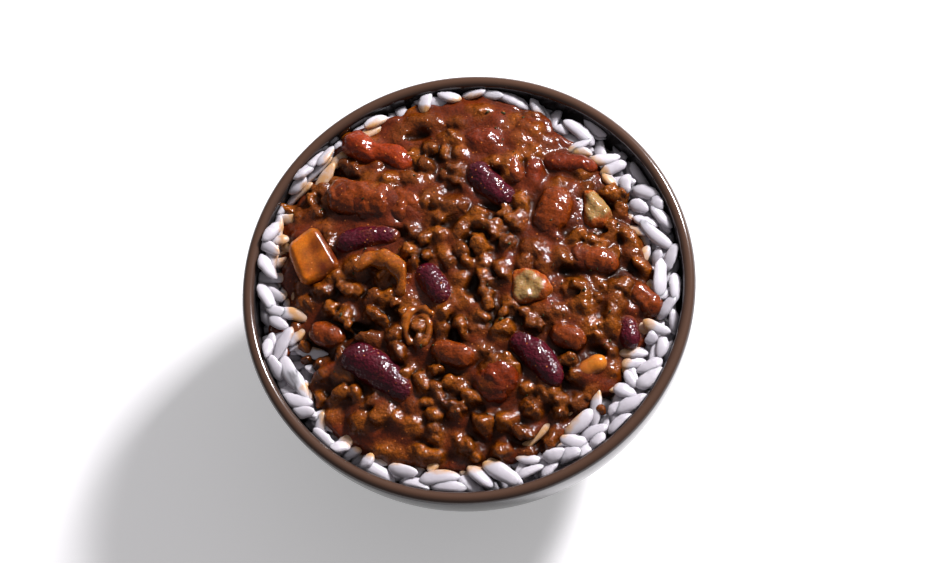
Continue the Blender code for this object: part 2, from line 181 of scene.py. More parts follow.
# ------------------------------------------------------------------ chili
# Minced beef fried to crumbs and stewed in a thick tomato sauce, which clings to each crumb, draws up
# against whatever stands in it and lies level where there are few crumbs. It is one field of distances on a
# fine grid, in which soft shapes melt into one another, and then it is skinned.
PITCH = 0.35  # from one node of the grid to the next
GRID_REACH = 46.9  # how far the grid goes to each side
GRID_BELOW, GRID_ABOVE = 1.2, 12.2
BASE_GAP = 0.1  # how far the chili's level underside lies below its CAD solid
MOUND_EDGE = 1.9  # the heap's height at its edge
MOUND_RISE = 6.0  # and how much higher it is in the middle
SAUCE_DEPTH = 1.3  # how far the sauce lies below the heap's outer form
EDGE_ROUND = 1.3  # how round the sauce's edge is
CRUMB_RISE = 0.85  # what share of its rise a crumb keeps
FILM = 1.25  # how softly a crumb melts into the sauce
MENISCUS = 1.1  # and how softly the sauce draws up against a bean or a dice

chili_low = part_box("chili")[0] / MM
chili_points = np.array([v.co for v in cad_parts["chili"].data.vertices]) / MM


def smooth_step(values, low, high):
    share = np.clip((values - low) / (high - low), 0, 1)
    return share * share * (3 - 2 * share)


def edge_of(points, low_z, high_z):
    """(angles, radii) of the outermost corners between two heights."""
    side = points[(points[:, 2] > low_z) & (points[:, 2] < high_z)]
    angle, radius = np.arctan2(side[:, 1], side[:, 0]), np.hypot(side[:, 0], side[:, 1])
    bins = np.linspace(-math.pi, math.pi, 61)
    far = np.array([radius[(angle >= a) & (angle <= b)].max(initial=0.0) for a, b in zip(bins, bins[1:])])
    middles = 0.5 * (bins[1:] + bins[:-1])
    return middles[far > 30], far[far > 30]


spokes, spoke_r = edge_of(chili_points, 0, chili_low.z + 1.4)


def chili_edge(angle):
    """Radius of the chili's edge, as the CAD solid has it."""
    return np.interp(angle, spokes, spoke_r, period=2 * math.pi)


def mound_z(x, y):
    """Height of the heap's smooth outer form."""
    share = np.clip(np.hypot(x, y) / chili_edge(np.arctan2(y, x)), 0, 1)
    return chili_low.z + MOUND_EDGE + MOUND_RISE * (1 - share**2.4) ** 0.85


def ripple(points, size, seed):
    """Smooth unevenness, mostly between -1 and 1, with waves of about the given size."""
    spread = np.random.default_rng(seed)
    total = 0.0
    for _ in range(7):
        direction = spread.normal(size=3)
        direction *= 2 * math.pi / (size * np.linalg.norm(direction) * spread.uniform(0.7, 1.5))
        total = total + np.sin(points @ direction + spread.uniform(0, 6.28))
    return total / 3.6


def melt(a, b, softness):
    """(distance, share of b) where shapes a and b join with a soft fillet."""
    mix = np.clip(0.5 + 0.5 * (a - b) / softness, 0, 1)
    return a * (1 - mix) + b * mix - softness * mix * (1 - mix), mix


def turning(yaw, pitch=0.0, roll=0.0):
    """Rotation matrix from angles in degrees: roll about x, pitch about y, then yaw about z."""
    a, b, c = (math.radians(v) for v in (yaw, pitch, roll))
    about_z = np.array([[math.cos(a), -math.sin(a), 0], [math.sin(a), math.cos(a), 0], [0, 0, 1]])
    about_y = np.array([[math.cos(b), 0, -math.sin(b)], [0, 1, 0], [math.sin(b), 0, math.cos(b)]])
    about_x = np.array([[1, 0, 0], [0, math.cos(c), -math.sin(c)], [0, math.sin(c), math.cos(c)]])
    return about_z @ about_y @ about_x


def egg(points, centre, half, turn):
    """Distance from an ellipsoid."""
    local = (points - centre) @ turn
    near = np.linalg.norm(local / half, axis=-1)
    return near * (near - 1) / np.maximum(np.linalg.norm(local / np.square(half), axis=-1), 1e-6)


def strand(points, path, radii, softness):
    """Distance from a soft strip: cones with round ends along a path, melted together."""
    shape = None
    for a, b, start_r, end_r in zip(path, path[1:], radii, radii[1:]):
        a, along = np.asarray(a), np.subtract(b, a)
        share = np.clip((points - a) @ along / (along @ along), 0, 1)
        away = np.linalg.norm(points - a - share[..., None] * along, axis=-1)
        away = away - start_r - share * (end_r - start_r)
        shape = away if shape is None else melt(shape, away, softness)[0]
    return shape


def corners_of(node):
    return np.array([v.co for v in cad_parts[node].data.vertices]) / MM


def lie(node):
    """(centre, turn, half sizes): how a CAD solid lies, its longest axis first and its flattest last."""
    points = corners_of(node)
    _, turn = np.linalg.eigh(np.cov((points - points.mean(axis=0)).T))
    turn = turn[:, ::-1] * np.where((turn[:, ::-1][0] < 0) & (np.arange(3) < 2), -1, 1)
    if turn[2, 2] < 0:
        turn[:, 2] *= -1
    if np.linalg.det(turn) < 0:
        turn[:, 1] *= -1
    low, high = (points @ turn).min(axis=0), (points @ turn).max(axis=0)
    return turn @ (0.5 * (low + high)), turn, 0.5 * (high - low)


def bean(points, node, plump=1.0, bend=0.0, taper=0.0):
    """Distance from a bean: an egg made blunt by a ball near each end, curved by bend, slimmed by taper."""
    blunt = 0.8
    centre, turn, half = lie(node)
    half = half * (1.0, plump, plump)
    local = (points - centre) @ turn
    local[..., 1:] *= 1 + taper * local[..., :1] / half[0]
    local[..., 1] += bend * ((local[..., 0] / half[0]) ** 2 - 0.35)
    shape = egg(local, np.zeros(3), half, np.eye(3))
    for end in (-1, 1):
        place = np.array([end * (half[0] - blunt * half[2] - 0.15), 0, 0])
        ball = np.linalg.norm((local - place) * (1, half[2] / half[1], 1), axis=-1) - blunt * half[2]
        shape = melt(shape, ball, 1.6)[0]
    return shape


def block(points, node, soft):
    """Distance from a convex CAD solid, with its edges softened."""
    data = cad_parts[node].data
    planes = {}
    for face in data.polygons:
        normal = np.array(face.normal)
        reach = normal @ np.array(data.vertices[face.vertices[0]].co) / MM
        planes[tuple(np.round(normal, 2))] = (normal, reach)
    shape = None
    for normal, reach in planes.values():
        away = points @ normal - reach
        shape = away if shape is None else -melt(-shape, -away, soft)[0]
    return shape


def grid_over(low, high, pitch):
    """(points, lowest corner) of an even grid over a box."""
    axes = [np.arange(a, b + pitch, pitch) for a, b in zip(low, high)]
    return np.stack(np.meshgrid(*axes, indexing="ij"), axis=-1), np.array([axis[0] for axis in axes])


def skin_of(values, corner, pitch):
    """(points, faces) of the surface where a grid of distances passes through zero."""
    volume = openvdb.FloatGrid(3.0)
    volume.copyFromArray(values.astype(np.float32))
    points, _, quads = volume.convertToPolygons(isovalue=0.0, adaptivity=0.0)
    return points * pitch + corner, quads[:, ::-1]


grid, grid_corner = grid_over((-GRID_REACH, -GRID_REACH, chili_low.z - GRID_BELOW),
                              (GRID_REACH, GRID_REACH, chili_low.z + GRID_ABOVE), PITCH)
grid = grid.astype(np.float32)
flat_x, flat_y = grid[:, :, 0, 0], grid[:, :, 0, 1]
flat_edge = chili_edge(np.arctan2(flat_y, flat_x))


def block_round(centre, reach):
    """The part of the grid within reach of a point."""
    low = np.maximum(0, ((np.subtract(centre, reach) - grid_corner) / PITCH).astype(int))
    high = np.minimum(grid.shape[:3], ((np.add(centre, reach) - grid_corner) / PITCH).astype(int) + 2)
    return tuple(slice(a, max(a, b)) for a, b in zip(low, high))


# Sauce pools, where few crumbs stand up: x, y, radius, and how far the sauce is raised there.
POOLS = [
    (-3, 40, 10, 0.8), (11, 37, 8, 1.0), (-18, 38, 7, 0.7), (-37, 17, 7, 0.6), (-15, -38, 9, 0.9),
    (2, 29, 5, 0.3), (-38, -6, 5, 0.5), (-33, -27, 5, 0.4), (30, -22, 6, 0.7), (18, 30, 6, 0.7),
    (24, 22, 5, 0.5), (-20, 19, 9, 0.6), (38, -6, 6, 0.5), (-22, 26, 6, 0.4), (14, 4, 6, 0.4),
    (-36, -20, 4, 0.4), (6, 20, 5, 0.1), (26, -8, 5, 0.3), (20, 6, 6, 0.6), (-21, 1, 5, -0.4),
    (9, -15, 5, -0.4), (-6, -19, 5, -0.4), (12, 28, 5, 0.3),
]
# The sauce keeps a least depth over the rice, laps a little higher at the back, and has a wandering edge.
level_points = grid[:, :, 0] * [1, 1, 0]
sauce_z = mound_z(flat_x, flat_y) - SAUCE_DEPTH
for x, y, radius, rise in POOLS:
    sauce_z += rise * np.exp(-(((flat_x - x) ** 2 + (flat_y - y) ** 2) / radius**2) ** 1.5)
sauce_z = np.maximum(sauce_z, chili_low.z + 1.6 + 0.5 * ripple(level_points, 9.0, 5))
sauce_z += 0.3 * ripple(level_points, 7.0, 6)
at_back = smooth_step(flat_y + 0.3 * np.abs(flat_x), 36, 44)
past_edge = 0.95 * (np.hypot(flat_x, flat_y) - flat_edge) - 1.0 * at_back + 0.5 * ripple(level_points, 5.0, 7)
sauce_z += 0.9 * at_back

level = grid[..., 2] - sauce_z[:, :, None]
wall = np.broadcast_to(past_edge[:, :, None], level.shape)
rounded = np.hypot(np.maximum(level + EDGE_ROUND, 0), np.maximum(wall + EDGE_ROUND, 0)) - EDGE_ROUND
sauce = np.where((level > -EDGE_ROUND) & (wall > -EDGE_ROUND), rounded, np.maximum(level, wall))
sauce = sauce.astype(np.float32)
mince = np.full_like(sauce, 9.0)  # far from any crumb, to begin with
tint = np.full_like(sauce, 0.5)  # each crumb's own tone, from 0 to 1
covered = np.zeros(flat_x.shape, bool)  # where crumbs or other pieces lie already

# Kinds of crumb, smooth, knobbly and crumbly: how many knobs it has, their radius as a share of its width,
# how deep they sit, how softly they join it, and the height and length of the ripples on it.
KNOBS = [(3, 0.32, 0.8, 0.8, 0.06, 2.6), (7, 0.28, 0.65, 0.5, 0.1, 2.2), (16, 0.2, 0.5, 0.3, 0.1, 1.5)]


def crumb(x, y, length, width, yaw, rise, kind, spread):
    """One crumb of mince: a soft core with round knobs all over it."""
    count, share, sunk, softness, wave, wave_length = KNOBS[kind]
    height = 1.2 * min(width, length)
    centre = np.array([x, y, mound_z(x, y) + rise - 0.5 * height])
    part = block_round(centre, 0.5 * length + 2.0)
    seed = int(abs(x * 31 + y * 17))
    bent = np.stack([ripple(grid[part], 5.0, seed + k) for k in range(3)], axis=-1)
    spots = grid[part] + 0.3 * bent
    turn = turning(yaw, spread.uniform(-10, 10), spread.uniform(-10, 10))
    half = 0.5 * np.array([length, width, height])
    shape = egg(spots, centre, half * 0.93, turn)
    for _ in range(count):
        way = spread.normal(size=3)
        way[2] = abs(way[2]) * 0.8
        way /= np.linalg.norm(way)
        radius = share * width * spread.uniform(0.7, 1.2)
        knob = centre + turn @ (way * (half - sunk * radius))
        shape = melt(shape, np.linalg.norm(spots - knob, axis=-1) - radius, softness)[0]
    shape = shape + wave * ripple(spots, wave_length, seed)
    mince[part], mix = melt(mince[part], shape, 0.2)
    tint[part] += (spread.uniform(0, 1) - tint[part]) * mix
    covered[part[:2]] |= shape.min(axis=2) < 0


# Crumbs that stand out: x, y, length, width, heading, rise above the heap's form, and kind.
CRUMBS = [
    # back left
    (-12.5, 41.5, 6, 3, -20, 0.3, 1), (-11, 38.6, 7.5, 4.4, -10, 1.2, 1), (-2.5, 38, 5, 3, -25, 0.8, 0),
    (-4, 34, 6.5, 3.4, -25, 1.1, 0), (-8.8, 31.2, 3.8, 3.4, 0, 1.0, 1), (-5.2, 30.5, 3, 1.9, 90, 0.7, 0),
    (-2.2, 30.6, 2.8, 2.3, 60, 0.7, 0), (-9.5, 27.5, 5.8, 3, -55, 1.1, 0),
    (-17.5, 24, 4.8, 3.9, 30, 1.3, 1), (-12, 24, 5, 2.7, -30, 0.6, 0), (-3, 24.7, 6.5, 5.4, 20, 1.5, 2),
    (-26, 28, 7.5, 3.6, -25, 1.0, 1), (-22.3, 25, 3.2, 3, 0, 0.7, 0), (-30.5, 25.4, 2.6, 2, 0, 0.3, 1),
    (-33.6, 23.2, 3.4, 2.8, 0, 0.8, 1), (-35.2, 21, 3.2, 2.4, 80, 0.8, 1), (-41, 19, 4.4, 3, -40, 0.7, 1),
    (-34, 17, 4.7, 3.8, 0, 0.9, 0), (-9, 18.8, 4.6, 3, 60, 0.8, 0), (-3.5, 17.3, 7, 4.6, -5, 1.1, 0),
    (-12.6, 6.4, 4.6, 3.6, 60, 1.0, 2), (-9, 9.3, 3.6, 2.5, 20, 1.0, 2), (-11.3, 3.6, 3.2, 2.6, 0, 0.7, 2),
    (-1.5, 10.5, 4.6, 4, 30, 1.0, 0), (-3.6, 4, 3.4, 2.6, 0, 0.8, 0), (-0.8, 6.3, 4, 3.8, 0, 1.0, 0),
    (-8, 5.3, 1.9, 1.5, 0, 0.6, 0), (-31.8, 19.8, 2.4, 2, 0, 0.5, 0), (-20.5, 28.2, 2.4, 1.8, 0, 0.3, 0),
    (-28.5, 36.5, 3, 2.2, 40, 0.4, 0),
    # back right
    (2, 41, 5.6, 3.6, 0, 1.4, 1), (9.5, 38.2, 4.6, 2.7, 55, 1.0, 0), (12.2, 36.3, 3.4, 2.2, -20, 1.2, 0),
    (14.9, 35.8, 3, 2.3, 60, 1.0, 0), (13.7, 40, 4.2, 2.2, -10, 0.8, 0), (11.5, 33.3, 4.6, 3.2, 0, 0.9, 0),
    (16.5, 32.7, 4.8, 3.6, -50, 0.9, 0), (5.4, 27.1, 4.2, 3.1, -20, 1.1, 0), (25, 24.6, 5, 3.6, 0, 0.5, 0),
    (26, 21.6, 3.2, 2, 70, 0.7, 0), (32, 20.7, 6.8, 5, -25, 1.9, 2), (33.2, 17.3, 4, 3.4, 60, 1.0, 1),
    (31.1, 13.2, 2.6, 2.4, 0, 0.9, 0), (35.2, 10, 7.4, 4.8, -35, 1.5, 1), (31.6, 10.4, 3.2, 2.8, 0, 0.9, 2),
    (37.9, 3.4, 4.6, 3, -45, 1.4, 0), (32.4, 5.8, 3.2, 1.6, 80, 0.7, 1), (11.7, 17.6, 5, 3.9, -60, 0.9, 1),
    (8.2, 15.6, 3.6, 3, 0, 0.5, 0), (2.4, 14.8, 4.6, 3, 10, 0.7, 0), (5.5, 12.2, 6, 2.6, 5, 1.1, 0),
    (9.4, 13.5, 2.2, 2, 0, 1.0, 0), (3.1, 7.9, 5.4, 4, -50, 1.4, 2), (5.8, 10, 3.8, 2.6, -60, 1.1, 2),
    (9, 8.3, 3.6, 3, 0, 1.1, 2), (15, 6.9, 6, 4.8, -10, 1.1, 0), (12.4, 3.2, 5, 4, 10, 0.7, 0),
    (20.6, 4.3, 6.4, 5, -50, 1.5, 0), (24, 9.5, 4.6, 3.4, 35, 1.2, 0), (27, 9, 4, 2.8, -20, 0.9, 0),
    (8.4, 1.1, 5.6, 3.4, -50, 1.2, 0), (0.6, 3.6, 3, 2.4, -40, 1.0, 0), (3.6, 1, 3.4, 2.6, -30, 0.8, 0),
    (29.6, 8.2, 2.2, 1.8, 0, 0.4, 1), (36.4, 6.4, 3, 2.2, 20, 0.6, 0), (19.5, 22, 4.6, 3, 20, 0.2, 0),
    # front left
    (-31.6, -1.3, 5, 3, -10, 0.8, 1), (-25.5, -1.3, 6.4, 3.4, -30, 1.4, 2), (-20, -3.6, 4.3, 3, 15, 1.0, 1),
    (-15.4, -5, 3, 2.1, 10, 0.8, 2), (-19.4, -8.3, 6.6, 3, -38, 1.6, 2), (-29.4, -5.6, 4.2, 3, -30, 1.0, 1),
    (-26.4, -7.6, 4, 3.4, -60, 1.0, 1), (-24.9, -10, 3, 2.4, -60, 0.8, 0),
    (-34.6, -3.6, 3.2, 2.6, 0, 0.6, 0), (-35.4, -13.4, 3.6, 2.4, -60, 0.9, 0),
    (-35, -16.2, 3, 2.1, 0, 0.8, 0), (-31.4, -17.6, 5.6, 4, -20, 1.0, 1), (-27.3, -15.8, 4, 3, 80, 0.5, 0),
    (-21, -13, 7, 3, 0, 0.9, 0), (-15, -12.6, 2.6, 2.2, 0, 1.0, 2), (-14.3, -16.2, 5.6, 3, -70, 1.0, 1),
    (-9.8, -10.8, 3.6, 2.8, 70, 0.7, 2), (-9.2, -14, 3, 2.4, 20, 0.6, 1),
    (-4.9, -7.6, 5.6, 4.2, 70, 1.1, 0), (-4.4, -11.4, 3.2, 2.8, 0, 0.8, 0), (-9, -23.4, 5, 3, -75, 0.6, 0),
    (-5.8, -25.2, 5, 2.8, -60, 1.1, 0), (-7.8, -27.6, 3, 2, 0, 0.6, 0), (-3, -23, 3, 2.5, 0, 0.6, 0),
    (-26, -24.5, 7, 2.8, 10, 0.8, 0), (-22, -31, 4.8, 4.2, 0, 1.2, 1), (-17.4, -29.8, 5.6, 4.4, 30, 1.3, 0),
    (-14.3, -30.4, 1.9, 1.6, 0, 0.7, 1), (-11, -32, 5.6, 4.4, -10, 1.3, 0),
    (-6.4, -30.2, 3.8, 2.6, -40, 1.3, 0), (-6.3, -33.1, 3.2, 2.4, 0, 0.9, 0),
    (-1.7, -28.8, 5, 3.6, -35, 1.3, 2), (-8, -38.3, 6.8, 4.4, -15, 1.3, 1),
    (-15.5, -37.3, 10, 5.4, -15, 0.5, 0), (-0.9, -11.6, 5.8, 3, 85, 1.0, 0), (-31, -20.6, 4, 3, 10, 0.3, 0),
    (-31.5, -25, 4.6, 2.2, 80, 0.3, 0), (-28.6, -29.6, 4.4, 3.4, 20, 0.2, 0),
    (-12.2, -20.6, 3.4, 2.4, 40, 0.3, 0), (-38.2, -9.2, 4, 2.4, 70, 0.3, 0),
    (-36.6, 0.2, 4, 2.8, 80, 0.2, 0),
    # front right
    (4.4, -3.7, 4.6, 2.7, -20, 1.2, 0), (4.9, -6.1, 3.6, 2.1, -70, 1.0, 0), (3.8, -9.2, 4, 3.4, 0, 1.0, 1),
    (8.4, -11.4, 5, 4.2, 60, 1.2, 1), (8.2, -8.6, 2.6, 2.2, 0, 0.8, 1), (12.9, -8.3, 2.8, 2.1, 0, 1.0, 2),
    (15.1, -10.5, 5.4, 2.9, -45, 1.4, 2), (24, -2, 5.8, 5.2, -40, 1.7, 1), (25.6, -4.6, 3, 2.8, 0, 1.0, 0),
    (28.3, -4.3, 2, 1.8, 0, 0.5, 0), (33.3, -1.6, 5.2, 4.4, 0, 1.7, 1), (32, -6, 5.4, 2.5, 78, 1.2, 0),
    (31.4, -10.6, 4.2, 3.5, 0, 1.0, 0), (22.6, -18.4, 3.6, 3, 20, 1.3, 0),
    (23.3, -21.6, 2.8, 2.5, 0, 1.2, 0), (1.6, -26.6, 5, 3.6, -35, 1.4, 0), (4, -31.8, 4.7, 3.8, 10, 1.4, 1),
    (13.9, -29.8, 2.8, 2.2, 0, 0.9, 1), (8.6, -31.8, 4.6, 3.2, 20, 1.0, 1), (12.2, -34, 6, 3, -20, 1.4, 0),
    (18.5, -26.2, 5.6, 3, -35, 1.4, 2), (20.2, -28.8, 4.2, 3, 70, 1.3, 2),
    (23.8, -27, 4.6, 4.2, 60, 1.3, 0), (26.6, -25.4, 3, 2.1, 70, 0.9, 0),
    (29, -28.4, 2.8, 2.4, -30, 0.9, 1), (18.6, -35, 7, 3, 68, 1.1, 0), (7.6, -38, 4.6, 3.2, 20, 1.3, 1),
    (0.4, -36.5, 6.4, 4.8, -20, 1.2, 0), (2.4, -38.9, 2.8, 2.2, 0, 0.9, 0),
    (13.2, -37.6, 4, 2.4, -10, 0.5, 0), (30.6, -15.5, 4.4, 3, -20, 0.3, 0), (20.4, -8, 4, 2.4, -30, 0.2, 0),
    (13.8, -24.6, 3.4, 2.4, 20, 0.2, 0),
]

# What stands in the sauce. Of each kidney bean: its bend, its taper towards its right end, and how much of
# its top the sauce films over.
KIDNEY_BEANS = {
    "kidney_bean_1": (0.9, 0.16, 0.15), "kidney_bean_2": (0.5, 0.05, 0.25),
    "kidney_bean_3": (-0.5, 0.08, 0.1), "kidney_bean_4": (0.3, 0.1, 0.1),
    "kidney_bean_5": (0.8, 0.12, 0.1), "kidney_bean_6": (0.2, 0.0, 0.1),
    "kidney_bean_7": (0.2, 0.0, 0.0),
}
COATED_BEANS = [f"coated_bean_{i}" for i in range(1, 7)] + ["tomato_chunk_1", "tomato_chunk_5"]
TOMATO_CHUNKS = ["tomato_chunk_2", "tomato_chunk_3", "tomato_chunk_4", "tomato_chunk_6"]
DICE = ["carrot_dice", "celery_dice_1", "celery_dice_2"]
in_sauce = [*KIDNEY_BEANS, "pale_bean", *COATED_BEANS, *TOMATO_CHUNKS]
in_sauce.remove("kidney_bean_7")  # it lies among the rice


def shape_in_sauce(points, node):
    """Distance from the plain shape of a piece that stands in the sauce."""
    return block(points, node, 0.6) if node in DICE else bean(points, node)


# A bed of large lumps lies wholly under the sauce, in the spiral of a sunflower's seeds.
spread = np.random.default_rng(3)
BED = 210
BED_RADIUS = 40.5
GOLDEN_ANGLE = math.pi * (3 - math.sqrt(5))
for i in range(BED):
    angle, radius = i * GOLDEN_ANGLE, BED_RADIUS * math.sqrt((i + 0.5) / BED)
    x = radius * math.cos(angle) + spread.uniform(-1.5, 1.5)
    y = radius * math.sin(angle) + spread.uniform(-1.5, 1.5)
    length = spread.uniform(4.6, 7.4)
    if math.hypot(x, y) < chili_edge(math.atan2(y, x)) - 0.5 * length:
        half = 0.5 * length * np.array([1, spread.uniform(0.6, 0.95), 0.8])
        i, j = (int(round((v - low) / PITCH)) for v, low in zip((x, y), grid_corner))
        centre = np.array([x, y, sauce_z[i, j] + spread.uniform(0.1, 1.2) - half[2]])
        part = block_round(centre, half[0] + 1.5)
        shape = egg(grid[part], centre, half, turning(spread.uniform(0, 180)))
        sauce[part] = melt(sauce[part], shape, 1.0)[0]
for node in in_sauce + DICE:
    centre, _, half = lie(node)
    part = block_round(centre, half[0] + 1)
    covered[part[:2]] |= shape_in_sauce(grid[part], node).min(axis=2) < 0
for x, y, length, width, yaw, rise, kind in CRUMBS:
    crumb(x, y, length, width, yaw, CRUMB_RISE * rise, kind, spread)

# Smaller and smaller crumbs fill the room that is left: from what length to what, how many are tried, and
# how much of its place may be taken already.
FILLING = [(5.2, 7.6, 800, 0.36), (3.8, 5.2, 700, 0.22), (2.6, 3.6, 120, 0.1)]
FILLED_RADIUS = 41
for shortest, longest, tries, crowding in FILLING:
    for _ in range(tries):
        angle, radius = spread.uniform(-math.pi, math.pi), FILLED_RADIUS * math.sqrt(spread.uniform())
        x, y = radius * math.cos(angle), radius * math.sin(angle)
        length = spread.uniform(shortest, longest)
        near = covered[block_round((x, y, chili_low.z), 0.42 * length)[:2]]
        if radius < chili_edge(angle) - 0.5 * length - 0.6 and near.mean() < crowding:
            width, rise = length * spread.uniform(0.6, 0.9), spread.uniform(-0.8, 0.8)
            crumb(x, y, length, width, spread.uniform(0, 180), rise, spread.choice((0, 1, 2, 2)), spread)

# Curled strips of mince and sauce skin: the places that they pass, each x, y, rise, and their radius.
CURLS = [
    ([(16.3, -24.6, 0.5), (18.6, -25.2, 1.1), (20.6, -27.2, 1.1), (20.6, -29.6, 0.6)], 1.5),
    ([(-28.4, -26, 0.1), (-26.2, -24.3, 0.7), (-23.6, -24.6, 0.6), (-22.9, -26, 0.0)], 1.2),
    ([(5.2, -20.6, 0.4), (6.4, -18.8, 1.2), (9.2, -18.7, 1.3), (10.9, -20.2, 0.8)], 1.2),
    ([(31.9, -2, 0.8), (32.9, -5, 0.9), (31.6, -8, 0.8), (30.8, -11, 0.6)], 1.5),
    ([(-13.4, 38.4, 0.6), (-10.6, 39.2, 1.0), (-7.9, 38.2, 0.7)], 1.5),
    ([(8.9, 24.2, 0.4), (8.4, 27.2, 0.8), (10.6, 28.8, 0.7)], 1.2),
    ([(-0.5, 12.9, 0.3), (3.2, 12.6, 0.9), (7.3, 11.3, 0.6)], 1.2),
    ([(-7.2, 20.3, 0.3), (-6.7, 17.9, 0.5), (-3.8, 16.2, 0.6), (-0.9, 17.1, 0.3)], 1.3),
]
for path, radius in CURLS:
    path = [np.array([x, y, mound_z(x, y) + rise - radius]) for x, y, rise in path]
    part = block_round(np.mean(path, axis=0), 7.5)
    shape = strand(grid[part], path, [radius] * len(path), 1.0)
    shape += 0.2 * ripple(grid[part], 2.2, len(path) + 40)
    mince[part] = melt(mince[part], shape, 0.5)[0]
field, meat = melt(sauce, mince, FILM)

# Sauce draws up against each bean, chunk and dice: a slightly smaller copy of each melts into the sauce.
for node in in_sauce + DICE:
    centre, _, half = lie(node)
    part = block_round(centre, half[0] + 2)
    sunk = 0.2 if node in COATED_BEANS + TOMATO_CHUNKS else 0.9
    field[part] = melt(field[part], shape_in_sauce(grid[part], node) + sunk, MENISCUS)[0]

# Dark hollows: x, y, length, width, heading, depth below the heap's form.
HOLLOWS = [
    (9.2, -22.3, 4.0, 3.2, -20, 0.3), (30.5, 17.6, 3, 1.8, -30, 0.5), (5, 16.8, 5, 1.8, -20, 0.5),
    (-17, 10.8, 8, 1.8, 5, 0.5), (-23, -10.6, 4, 1.8, -20, 0.6), (1.6, -1.8, 4, 2, 60, 0.6),
    (-2, -13.8, 4, 1.8, 80, 0.6), (22.6, 1.2, 4, 1.8, -20, 0.6), (28.5, -16.2, 4, 1.8, -10, 0.5),
    (14.4, -15, 3.4, 1.8, -50, 0.6), (-27, 18, 4, 1.6, 30, 0.4), (-11.6, 35.6, 4.6, 2, 5, 0.3),
]
for x, y, length, width, yaw, depth in HOLLOWS:
    centre = np.array([x, y, mound_z(x, y) - depth])
    part = block_round(centre, length)
    hole = egg(grid[part], centre, 0.5 * np.array([length, width, 3.2]), turning(yaw))
    field[part] = -melt(-field[part], hole, 1.6)[0]

# Fine unevenness all over, more of it on the meat than on the smooth sauce.
field += (0.07 + 0.1 * meat) * ripple(grid, 2.8, 91) + (0.02 + 0.08 * meat) * ripple(grid, 1.5, 92)

# The underside is level, where the chili lies on the rice.
field = np.maximum(field, chili_low.z - BASE_GAP - grid[..., 2]).astype(np.float32)


def sample(values, points):
    """Values of the grid at points, blended between the eight nearest nodes."""
    place = np.clip((points - grid_corner) / PITCH, 0, np.array(values.shape) - 1.001)
    base = place.astype(int)
    part = place - base
    total = 0.0
    for step in np.ndindex(2, 2, 2):
        weight = np.prod(np.where(step, part, 1 - part), axis=-1)
        total = total + weight * values[tuple((base + step).T)]
    return total


def openness(points):
    """How much open sky a point of the surface has, from 0 in a crack to 1 on a crest."""
    seen = 0.0
    ways = [(0.0, 1.0)] + [(a, 0.6) for a in np.arange(0, 6.28, math.pi / 4)]
    for angle, up in ways:
        side = math.sqrt(1 - up * up)
        way = np.array([side * math.cos(angle), side * math.sin(angle), up])
        clear = 1.0
        for reach in (0.6, 1.2, 2.2, 3.6):
            clear = np.minimum(clear, np.clip(sample(field, points + way * reach) / (0.45 * reach), 0, 1))
        seen = seen + clear
    return seen / len(ways)


def above_sauce(points):
    """Height of points above the sauce that lies level round them."""
    place = np.clip(((points - grid_corner) / PITCH).astype(int), 0, len(flat_x) - 1)
    return points[:, 2] - sauce_z[place[:, 0], place[:, 1]]


def store(made, **values):
    """Keeps a number for each vertex, which the material reads by its name."""
    for name, numbers in values.items():
        kept = made.data.attributes.new(name, "FLOAT", "POINT")
        kept.data.foreach_set("value", np.asarray(numbers, np.float32))


def largest_part(quads, count):
    """Those faces that hang together with most of the others, without the specks that float free of them."""
    label = np.arange(count)
    while True:
        joined = label.copy()
        np.minimum.at(joined, quads, label[quads].min(axis=1)[:, None])
        joined = joined[joined]
        if (joined == label).all():
            break
        label = joined
    label = label[quads[:, 0]]
    return quads[label == np.bincount(label).argmax()]


# The level underside needs no fine net: it goes, and a fan of faces closes the ring that it leaves.
points, quads = skin_of(field, grid_corner, PITCH)
quads = quads[~(points[quads][:, :, 2] < chili_low.z).all(axis=1)]
used, quads = np.unique(largest_part(quads, len(points)), return_inverse=True)
points, quads = points[used], quads.reshape(-1, 4)
sides = np.concatenate([quads[:, [k, (k + 1) % 4]] for k in range(4)])
ring = sides[~np.isin(sides @ [len(points), 1], sides @ [1, len(points)])]
fan = [(b, a, len(points)) for a, b in ring.tolist()]
points = np.vstack([points, (0, 0, chili_low.z - BASE_GAP)])

# Meat sauce: tomato, fat and stock, boiled down until it clings. It is red-brown, thin and orange over the
# crumbs, painted near black in its cracks as shade, and so wet that each knob carries its own sharp
# highlight.
SAUCE_LIGHT, SAUCE_DARK, SAUCE_PAINTED_SHADE = "#682404", "#3e1402", "#180700"


